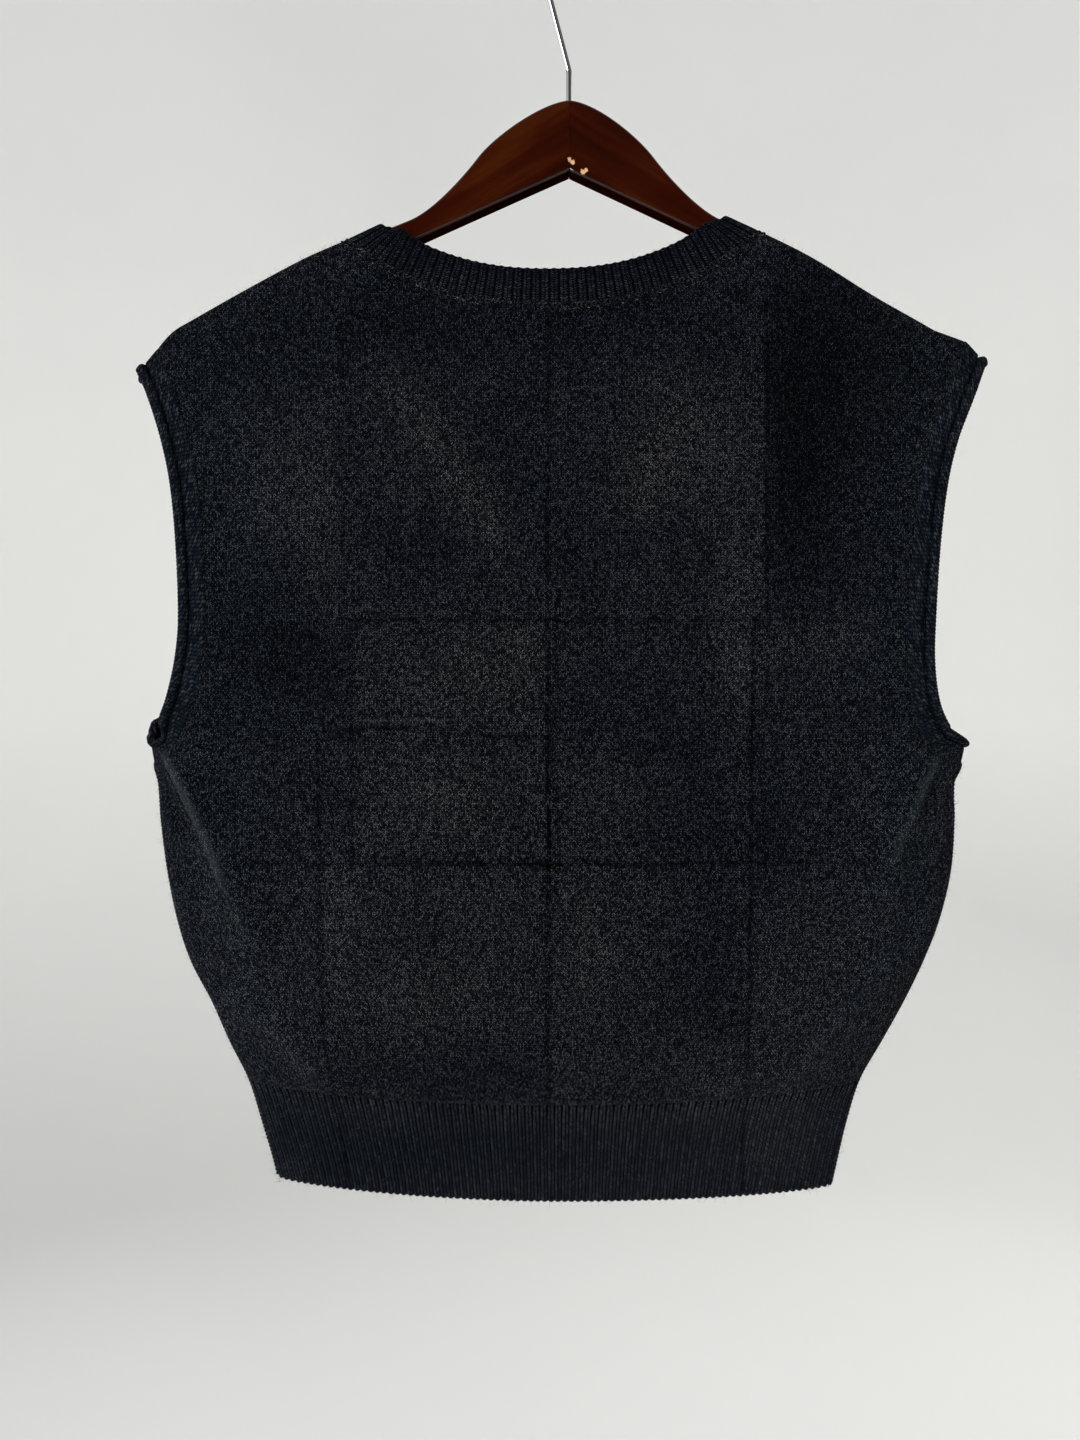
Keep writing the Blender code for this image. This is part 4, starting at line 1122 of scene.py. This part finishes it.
for panel in ("back", "front"):
    fine = np.sin(np.linspace(-np.pi / 2, np.pi / 2, FINE_POINTS))
    spread = evenly(fine, place_rib(panel, fine, np.full_like(fine, 0.5)), RIBS * RIB_COLUMNS + 1)
    heights = np.linspace(0, 1, RIB_ROWS)
    across, up = np.meshgrid(spread, heights)
    points = place_rib(panel, across, up)
    rib = np.broadcast_to(np.arange(RIBS * RIB_COLUMNS + 1) / RIB_COLUMNS, across.shape)
    start = RIB_AT_START + (1 - RIB_AT_START) * np.clip((1 - up) / RIB_STARTS_OVER, 0, 1)
    edge = np.clip((1 - np.abs(across)) / RIB_FLAT_EDGE, 0, 1)
    wave = RIB_DEPTH * np.cos(math.tau * (rib - 0.5)) * start * edge
    outward = unit(np.cross(np.gradient(points, axis=1), np.gradient(points, axis=0)))
    points = points + outward * (wave if panel == "back" else -wave)[..., None]
    points[..., 2] += HEM_SCALLOP * np.cos(math.tau * rib) * (up == 0)
    stitches = np.stack([rib, points[..., 2] / COURSE], axis=-1)
    name = "rib_hem_" + panel
    # The panel's painted sheen and shade carry on into the rib.
    tone = tone_and_painted_light(panel, points[..., 0], points[..., 2])
    tone *= 1 + HEM_TOP_TONE * np.clip(1 - (1 - up) / HEM_TOP_SHARE, 0, 1)
    mesh = open_grid(name, points, stitches, tone, panel == "back")
    wool = knitted("one_by_one_rib_" + panel, face=0.72, light=0.98, grain=0.5, panel=panel)
    hem = worked(name, mesh, wool, "charcoal_knit", panel + "_hem_rib")
    thicken(hem, RIB_WALL)


# --- The neckband --------------------------------------------------------------------------------------
# One long strip of one-by-one rib, knitted double and linked to the neckline stitch by stitch. It is
# mitred at the foot of the V, and the linking shows as a chain of paler loops along the seam.
NECKBAND_THICK = 0.0025
NECKBAND_WIDTH = 0.0225
NECKBAND_SHOULDER_WIDTH = 0.0262
NECKBAND_PROUD = 0.0001
NECKBAND_RISE = math.radians(17)
NECKBAND_BLEND = 0.030
NECK_OPENING_Z = -0.150
SHOULDER_SOFT = 0.0050
SHOULDER_SOFT_REACH = 0.026
NECK_SHOULDER_REACH = 0.050
BAND_TUCK = 0.0007
BAND_RIB = 0.0055
BAND_COLUMNS = 10
BAND_DEPTH = 0.00027
BAND_SCALLOP = 0.00045
NECK_POINTS = 1601
BAND_FACE_POINTS = 10
BAND_ROUND_POINTS = 6
NECKBAND_TONES = (1.3, 0.8, 0.7, 1.0)
MITRE_REACH = 120


def even_run(points, count):
    """A line through points, cut into count equal steps, without its last point."""
    run = run_along(points)
    at = np.linspace(0, run[-1], count + 1)[:-1]
    return np.stack([np.interp(at, run, points[:, k]) for k in range(3)], axis=-1)


def band_frames(loop, opening, ends, blend):
    """At each point of a loop, the way off the panel and the way out of the cloth.

    opening is a point that every way off the panel leads towards, and ends gives that way where front
    and back meet, by place in the loop.
    """
    run = np.roll(loop, -1, axis=0) - np.roll(loop, 1, axis=0)
    away = unit(np.stack([-run[:, 2], np.zeros(len(loop)), run[:, 0]], axis=-1))
    away[np.sum(away * (np.array(opening) - loop), axis=1) < 0] *= -1
    for k, fixed in ends.items():
        reach = np.linalg.norm(loop - loop[k], axis=1) / blend
        reach = np.clip(reach, 0, 1)[:, None]
        away = away * reach + np.array(fixed) * (1 - reach)
    away = unit(away)
    out = unit(np.cross(run, away))
    if np.sum(out[:, 1] * np.sign(loop[:, 1])) < 0:
        out = -out
    return away, out


def closed_band(name, rings, along, around, tone):
    """A closed band of faces through rings of points carried round a loop."""
    count, size = rings.shape[:2]
    j, i = np.meshgrid(np.arange(count), np.arange(size), indexing="ij")
    faces = [(j + a) % count * size + (i + b) % size for a, b in FACE_CORNERS]
    faces = np.stack(faces, axis=-1).reshape(-1, 4)
    stitches = [np.stack([along[j + a], around[i + b]], axis=-1) for a, b in FACE_CORNERS]
    stitches = np.stack(stitches, axis=2)
    mesh = cloth_mesh(name, rings, faces, stitches.reshape(-1, 2), tone)
    bm = bmesh.new()
    bm.from_mesh(mesh)
    bmesh.ops.remove_doubles(bm, verts=bm.verts, dist=0.000003)
    bmesh.ops.recalc_face_normals(bm, faces=bm.faces)
    bm.to_mesh(mesh)
    bm.free()
    mesh.shade_smooth()
    return mesh


def neck_line(panel):
    """The neckline's seam on a panel, from left to right."""
    share = np.sin(np.linspace(-np.pi / 2, np.pi / 2, NECK_POINTS))
    across = share * on_side({side: NECK_HALF[side] / tip_half(side) for side in (-1, 1)}, share)
    return place(panel, across, np.ones_like(across))


def filled(share, start, rise):
    """How full a band or its ridge is at a share of its width: thinner at its root, and soon whole."""
    return min(1, start + rise * share)


def neckband_section(half, scallop):
    """The band's section at one place: points (how far off the seam as a share, how far out)."""
    face = [(s, half * filled(s, 0.50, 2.6)) for s in np.linspace(0, 1, BAND_FACE_POINTS)[:-1]]
    cap = []
    for k in range(BAND_ROUND_POINTS + 1):
        angle = math.pi / 2 - math.pi * k / BAND_ROUND_POINTS
        cap.append((1 + scallop * math.cos(angle), half * math.sin(angle)))
    return face + cap + [(s, -out) for s, out in reversed(face)]


back_line, front_line = neck_line("back"), neck_line("front")
back_line[0, 1] = back_line[-1, 1] = front_line[0, 1] = front_line[-1, 1] = 0
foot = int(np.argmin(front_line[:, 2]))
back_ribs = round(run_along(back_line)[-1] / BAND_RIB)
side_ribs = round(run_along(front_line[foot:])[-1] / BAND_RIB)
loop = np.concatenate([
    even_run(back_line, back_ribs * BAND_COLUMNS),
    even_run(front_line[: foot - 1 : -1], side_ribs * BAND_COLUMNS),
    even_run(front_line[foot::-1], side_ribs * BAND_COLUMNS),
])
right_end = back_ribs * BAND_COLUMNS
foot_at = right_end + side_ribs * BAND_COLUMNS
rise = (math.cos(NECKBAND_RISE), 0, math.sin(NECKBAND_RISE))
ends = {0: rise, right_end: (-rise[0], 0, rise[2])}
away, out = band_frames(loop, (VEST_X, 0, NECK_OPENING_Z), ends, NECKBAND_BLEND)
off_shoulder = np.minimum(*(np.linalg.norm(loop - loop[k], axis=1) for k in ends))
near = np.clip(1 - off_shoulder / NECK_SHOULDER_REACH, 0, 1)
near = near**2 * (3 - 2 * near)
width = NECKBAND_WIDTH + (NECKBAND_SHOULDER_WIDTH - NECKBAND_WIDTH) * near
width -= SHOULDER_SOFT * np.clip(1 - off_shoulder / SHOULDER_SOFT_REACH, 0, 1) ** 2
rib = np.arange(len(loop)) / BAND_COLUMNS
wave = -np.cos(math.tau * rib)
rings = []
for i, p in enumerate(loop):
    half = NECKBAND_THICK / 2 - BAND_DEPTH / 2
    scallop = half / width[i] + BAND_SCALLOP / width[i] * (0.5 + 0.5 * wave[i])
    ring = []
    for share, outward in neckband_section(half, scallop):
        lean = BAND_DEPTH * wave[i] * filled(share, 0.25, 4) * (1 if outward > 0 else -1)
        off = -BAND_TUCK + (width[i] - half) * share
        ring.append(p + away[i] * off + out[i] * (NECKBAND_PROUD + outward + lean))
    rings.append(ring)
rings = np.array(rings)
for i in range(foot_at - MITRE_REACH, foot_at + MITRE_REACH + 1):
    side = 1 if i < foot_at else -1
    way = loop[i + 1] - loop[i - 1] if i != foot_at else np.array([1.0, 0, 0])
    over = (rings[i, :, 0] - VEST_X) * side < 0
    if i == foot_at:
        slope = unit(loop[i - 1] - loop[i])
        stretch = 1 / math.sqrt(1 - slope[2] ** 2)
        rings[i] = loop[i] + (rings[i] - loop[i]) * np.array([1, 1, stretch])
        continue
    slide = (VEST_X - rings[i, over, 0]) / way[0]
    rings[i, over] += slide[:, None] * way
section_run = run_along(rings[0])
around = np.append(section_run, section_run[-1] + NECKBAND_THICK) / COURSE
at = (0, BAND_FACE_POINTS - 1, BAND_FACE_POINTS + BAND_ROUND_POINTS - 1, rings.shape[1])
tone = np.broadcast_to(np.interp(np.arange(rings.shape[1]), at, NECKBAND_TONES), rings.shape[:2])
mesh = closed_band("rib_neckband", rings, np.append(rib, rib[-1] + 1 / BAND_COLUMNS), around, tone)
wool = knitted("neckband_rib", face=0.84, light=0.68, grain=0.5)
neckband = worked("rib_neckband", mesh, wool, "charcoal_knit", "neckband")

CHAIN_STEP = 5
CHAIN_WIDE = 0.0019
CHAIN_RISE = 0.00030
CHAIN_YARN = 0.00060
CHAIN_STEPS = 6
CHAIN_CLEAR = 0.0045
CHAIN_OFF = 0.0004
CHAIN_PROUD = 0.0007
CHAIN_TONES = (0.9, 2.3)
YARN_SIDES = 5


def chain_legs(centres, along, across, out, length):
    """The two curved legs of each stitch in a chain laid along a seam."""
    share = np.linspace(0, 1, CHAIN_STEPS)[None, :, None]
    legs = []
    for side in (-1, 1):
        path = centres[:, None] + along[:, None] * length * (share - 0.4)
        path = path + across[:, None] * side * CHAIN_WIDE * np.sin(np.pi * 0.75 * share)
        legs.append(path + out[:, None] * CHAIN_RISE * np.sin(np.pi * share))
    return np.concatenate(legs)


def yarn_radii(paths, thick):
    """A leg's radius at each step, thinner at both ends."""
    share = np.linspace(0, 1, paths.shape[1])
    return np.broadcast_to(thick * (0.45 + 0.55 * np.sin(np.pi * share)), paths.shape[:2])


picked = np.arange(0, len(loop), CHAIN_STEP)
picked = picked[off_shoulder[picked] > CHAIN_CLEAR]
along = unit(np.roll(loop, -1, axis=0) - np.roll(loop, 1, axis=0))[picked]
centres = loop[picked] + away[picked] * CHAIN_OFF + out[picked] * CHAIN_PROUD
legs = chain_legs(centres, along, away[picked], out[picked], BAND_RIB * CHAIN_STEP / BAND_COLUMNS)
uneven = np.random.default_rng(11).uniform(*CHAIN_TONES, len(legs))
mesh = tube_mesh("neck_linking", legs, yarn_radii(legs, CHAIN_YARN), YARN_SIDES, uneven)
worked("neck_linking", mesh, knitted("linking_yarn", legs=1), "charcoal_knit")


# --- The armhole bands ---------------------------------------------------------------------------------
# A narrow strip knitted on round each armhole, whose bound edge rolls outwards. Short ridges run across
# the strip, and a groove lies under the roll, darkened with painted shade.
ARMBAND_THICK = 0.0022
ARMBAND_WIDTH = 0.0090
ARMBAND_AT_UNDERARM = {"left": math.radians(83), "right": math.radians(78)}
ARMBAND_AT_TIP = {"left": math.radians(-56), "right": math.radians(-64)}
ARMBAND_BLEND = 0.025
ROLL_RADIUS = 0.0028
ROLL_OFF = 0.0032
ROLL_RAISED = 0.00055
ROLL_START = math.radians(160)
ROLL_END = math.radians(-160)
ROLL_POINTS = 15
GROOVE_OFF = 0.0008
GROOVE_RAISED = 0.0002
# How dark the painted shade is in the groove under the roll, and beside it.
GROOVE_PAINTED_SHADE = 0.25
BESIDE_GROOVE_PAINTED_SHADE = 0.6
# How much longer the band is by the distance from the underarm, which is negative round the front.
UNDERARM_ROLL = {
    "left": (
        (-0.034, 0), (-0.022, 0.0025), (-0.012, 0.0068), (-0.004, 0.0070),
        (0.006, -0.0066), (0.010, -0.0060), (0.030, 0),
    ),
    "right": ((-0.024, 0), (-0.001, -0.0025), (0.001, -0.0030), (0.022, 0)),
}
TIP_LONGER = 0.0045
TIP_REACH = 0.022
STRIP_RIDGE = 0.0023
STRIP_COLUMNS = 5
STRIP_POINTS = 6
STRIP_DEPTH = 0.00028
STRIP_BACK_SHARE = 0.6
ROLL_DEPTH = 0.00016
ROLL_SLANT = 1.6


def armhole_section():
    """The band's section: off the panel, out, how deep its ridges are, and how far they slant."""
    strip = []
    for k in range(STRIP_POINTS):
        share = k / (STRIP_POINTS - 1)
        off = -BAND_TUCK + (ARMBAND_WIDTH - GROOVE_OFF + BAND_TUCK) * share
        strip.append((off, ARMBAND_THICK / 2, STRIP_DEPTH * filled(share, 0.3, 3), 0.0))
    points = strip.copy()
    points.append((ARMBAND_WIDTH + 0.0001, GROOVE_RAISED, 0.0, 0.0))
    for k in range(ROLL_POINTS):
        angle = ROLL_START + (ROLL_END - ROLL_START) * k / (ROLL_POINTS - 1)
        off = ARMBAND_WIDTH + ROLL_OFF + ROLL_RADIUS * math.cos(angle)
        raised = ROLL_RAISED + ROLL_RADIUS * math.sin(angle)
        points.append((off, raised, ROLL_DEPTH, ROLL_SLANT * angle / math.pi))
    points += [(off, -half, STRIP_DEPTH * STRIP_BACK_SHARE, 0.0) for off, half, _, _ in reversed(strip)]
    return np.array(points)


def eased(at, table):
    """A value read from rows of a place and a value, eased from row to row."""
    places, values = np.array(table).T
    i = np.clip(np.searchsorted(places, at) - 1, 0, len(places) - 2)
    share = np.clip((at - places[i]) / (places[i + 1] - places[i]), 0, 1)
    return values[i] + (values[i + 1] - values[i]) * share**2 * (3 - 2 * share)


for side, name in ((-1.0, "left"), (1.0, "right")):
    climb = UNDERARM_UP + (1 - UNDERARM_UP) * np.linspace(0, 1, FINE_POINTS) ** ROWS_EASE
    edge = np.full_like(climb, side)
    back_line, front_line = place("back", edge, climb), place("front", edge, climb)
    for line in (back_line, front_line):
        line[0, 1] = line[-1, 1] = 0
    ridges = round(run_along(back_line)[-1] / STRIP_RIDGE)
    loop = np.concatenate([
        even_run(back_line, ridges * STRIP_COLUMNS), even_run(front_line[::-1], ridges * STRIP_COLUMNS)
    ])
    tip_at = ridges * STRIP_COLUMNS
    turns = {0: ARMBAND_AT_UNDERARM[name], tip_at: ARMBAND_AT_TIP[name]}
    ends = {k: (side * math.cos(turn), 0, math.sin(turn)) for k, turn in turns.items()}
    away, out = band_frames(loop, (side, 0, loop[:, 2].mean()), ends, ARMBAND_BLEND)
    from_under = np.linalg.norm(loop - loop[0], axis=1)
    from_tip = np.linalg.norm(loop - loop[tip_at], axis=1)
    on_front = np.arange(len(loop)) > tip_at
    longer = eased(np.where(on_front, -from_under, from_under), UNDERARM_ROLL[name])
    longer += TIP_LONGER * np.clip(1 - from_tip / TIP_REACH, 0, 1) ** 2
    ridge = np.arange(len(loop)) / STRIP_COLUMNS
    section = armhole_section()
    centre = np.array([ARMBAND_WIDTH + ROLL_OFF, ROLL_RAISED])
    off = np.broadcast_to(section[:, 0], (len(loop), len(section))).copy()
    outs = np.broadcast_to(section[:, 1], off.shape).copy()
    wave = np.cos(math.tau * (ridge[:, None] + section[None, :, 3])) * section[None, :, 2]
    on_roll = np.arange(len(section))
    on_roll = (on_roll > STRIP_POINTS) & (on_roll <= STRIP_POINTS + ROLL_POINTS)
    radial = unit(np.stack([section[:, 0] - centre[0], section[:, 1] - centre[1]], axis=-1))
    outs += np.where(on_roll, wave * radial[None, :, 1], wave * np.sign(section[None, :, 1]))
    off += np.where(on_roll, wave * radial[None, :, 0], 0) + longer[:, None] * off / off.max()
    rings = loop[:, None] + away[:, None] * off[..., None] + out[:, None] * outs[..., None]
    run = run_along(section[:, :2])
    around = np.append(run, run[-1] + ARMBAND_THICK) / COURSE
    tone = np.ones(rings.shape[:2])
    # Painted shade in the groove under the roll and along its sides.
    tone[:, STRIP_POINTS] = GROOVE_PAINTED_SHADE
    tone[:, STRIP_POINTS - 1] = tone[:, STRIP_POINTS + 1] = BESIDE_GROOVE_PAINTED_SHADE
    along = np.append(ridge, ridge[-1] + 1 / STRIP_COLUMNS)
    mesh = closed_band("rib_armhole_" + name, rings, along, around, tone)
    wool = knitted("armhole_rib_" + name, face=1.3, legs=1, light=0.7, grain=0.7)
    band = worked("rib_armhole_" + name, mesh, wool, "charcoal_knit", "armhole_band_" + name)


# --- The shoulder and side seams ------------------------------------------------------------------------
# The panels are linked together over the shoulders and down the sides, through the hem's ribs. Each seam
# is a chain of small stitches in the same yarn.
SEAM_STITCH = 0.0023
SEAM_WIDE = 0.7
SEAM_OFF_SIDE = -0.0006
SEAM_OFF_SHOULDER = 0.0002
SEAM_YARN = CHAIN_YARN * 0.9
SEAM_TONES = (0.8, 1.3)
SEAM_POINTS = {"shoulder": 200, "side": 300}
SHOULDER_SEAM_ENDS = (0.003, 0.002)
SIDE_SEAM_ENDS = (0.0015, 0.008)


def seam_legs(line, off):
    """The stitches' legs along a seam that lies in the plane between front and back."""
    count = round(run_along(line)[-1] / SEAM_STITCH)
    at = even_run(line, count)
    along = unit(np.gradient(at, axis=0))
    across = np.broadcast_to(np.array([0, 1.0, 0]), at.shape)
    out = np.cross(along, across)
    out *= np.sign(np.sum(out * (at - np.array([VEST_X, 0, MIDDLE[2]])), axis=1))[:, None]
    return chain_legs(at + out * off, along, across * SEAM_WIDE, out, SEAM_STITCH)


legs = []
for side in (-1.0, 1.0):
    inner, outer = NECK_HALF[side] + SHOULDER_SEAM_ENDS[0], tip_half(side) - SHOULDER_SEAM_ENDS[1]
    x = VEST_X + side * np.linspace(inner, outer, SEAM_POINTS["shoulder"])
    top = shoulder_z(x) + BODY_THICK / 2
    legs.append(seam_legs(np.stack([x, x * 0, top], axis=-1), SEAM_OFF_SHOULDER))
    hem = float(place_rib("back", side, 0.0)[2])
    low, high = hem + SIDE_SEAM_ENDS[0], UNDERARM_Z - SIDE_SEAM_ENDS[1]
    z = np.linspace(low, high, SEAM_POINTS["side"])
    x = VEST_X + side * (half_width(np.full_like(z, side), z) + BODY_THICK / 2)
    legs.append(seam_legs(np.stack([x, x * 0, z], axis=-1), SEAM_OFF_SIDE))
legs = np.concatenate(legs)
uneven = np.random.default_rng(12).uniform(*SEAM_TONES, len(legs))
mesh = tube_mesh("linked_seams", legs, yarn_radii(legs, SEAM_YARN), YARN_SIDES, uneven)
worked("linked_seams", mesh, knitted("seam_yarn", legs=1), "charcoal_knit")


# --- The loose fibres ----------------------------------------------------------------------------------
# Fine ends of the wool that stand out of the knit all over and fringe its edges, and a few pale hairs that
# have caught in it.
FIBRE_THICK = 0.00005
FIBRE_STEPS = 5
# How many there are, how long they are, and how far they rise as a share of their length.
Growth = namedtuple("Growth", "count length lift")
ON_FACE = Growth(4200, (0.0012, 0.0035), (0.15, 0.55))
ON_EDGE = Growth(2600, (0.0012, 0.0032), (0.6, 1.4))
PALE_HAIRS = Growth(16, (0.004, 0.008), (0.10, 0.25))
PALE_THICK = FIBRE_THICK * 1.8
PALE_TONE = 14.0
GREY_TONES = (1.0, 3.0)
SHOULDER_FROM = 0.118
SHOULDER_SPAN = 0.108
SHOULDER_HALF_DEPTH = 0.003
EDGE_STRAY = 0.35
FIBRE_SHARES = {
    "knit_back": 0.36, "knit_front": 0.36, "rib_hem_back": 0.07, "rib_hem_front": 0.07, "rib_neckband": 0.14,
}


def fibres(chance, growth, find_roots, thick):
    """Curled fibres that rise from their roots, and their radii."""
    roots, ways = find_roots(chance, growth.count)
    count = len(roots)
    stray = unit(chance.normal(size=(count, 3)))
    flat = unit(stray - ways * np.sum(stray * ways, axis=1, keepdims=True))
    curl = np.cross(ways, flat) * chance.uniform(-0.5, 0.5, count)[:, None]
    reach = chance.uniform(*growth.length, count)[:, None, None]
    rise = chance.uniform(*growth.lift, count)[:, None, None]
    share = np.linspace(0, 1, FIBRE_STEPS)[None, :, None]
    risen = ways[:, None] * rise * np.sin(np.pi * 0.6 * share)
    paths = flat[:, None] * share + risen + curl[:, None] * share**2
    radii = np.broadcast_to(thick * (1.15 - np.linspace(0, 1, FIBRE_STEPS)), (count, FIBRE_STEPS))
    return roots[:, None] + paths * reach, radii


def face_roots(chance, count):
    """Roots all over the panels, ribs and bands, with the way out of the cloth at each."""
    roots, ways = [], []
    for name, part in FIBRE_SHARES.items():
        mesh = bpy.data.objects[name].data
        spots = np.empty(len(mesh.vertices) * 3)
        normals = np.empty(len(mesh.vertices) * 3)
        mesh.vertices.foreach_get("co", spots)
        mesh.vertex_normals.foreach_get("vector", normals)
        chosen = chance.integers(0, len(mesh.vertices), round(count * part))
        roots.append(spots.reshape(-1, 3)[chosen])
        ways.append(normals.reshape(-1, 3)[chosen])
    roots, ways = np.concatenate(roots), np.concatenate(ways)
    return roots + ways * BODY_THICK / 2, ways


def edge_roots(chance, count):
    """Roots along the hem, the shoulders and the sides, with the way out at each."""
    part = count // 4
    share = chance.uniform(-1, 1, 2 * part)
    low = place_rib("back", share, np.zeros(2 * part))
    low[:, 1] = chance.uniform(-1, 1, 2 * part) * np.abs(low[:, 1])
    x = VEST_X + np.sign(share[:part]) * (SHOULDER_FROM + SHOULDER_SPAN * np.abs(share[:part]))
    y = chance.uniform(-SHOULDER_HALF_DEPTH, SHOULDER_HALF_DEPTH, part)
    high = np.stack([x, y, shoulder_z(x) + BODY_THICK / 2], axis=-1)
    z = chance.uniform(HEM_Z, UNDERARM_Z, part)
    side = np.sign(share[part:])
    beside = np.stack([VEST_X + side * half_width(side, z), 0 * z, z], axis=-1)
    ways = np.zeros((4 * part, 3))
    ways[: 2 * part, 2] = -1
    ways[2 * part : 3 * part, 2] = 1
    ways[3 * part :, 0] = side
    ways = unit(ways + chance.normal(scale=EDGE_STRAY, size=ways.shape))
    return np.concatenate([low, high, beside]), ways


chance = np.random.default_rng(5)
on_face = fibres(chance, ON_FACE, face_roots, FIBRE_THICK)
on_edge = fibres(chance, ON_EDGE, edge_roots, FIBRE_THICK)
pale = fibres(chance, PALE_HAIRS, face_roots, PALE_THICK)
paths, radii = (np.concatenate(parts) for parts in zip(on_face, on_edge, pale))
grey = chance.uniform(*GREY_TONES, len(on_face[0]) + len(on_edge[0]))
tone = np.concatenate([grey, np.full(len(pale[0]), PALE_TONE)])
mesh = tube_mesh("loose_fibres", paths, radii, 3, tone)
worked("loose_fibres", mesh, knitted("loose_wool", legs=1), "charcoal_knit")
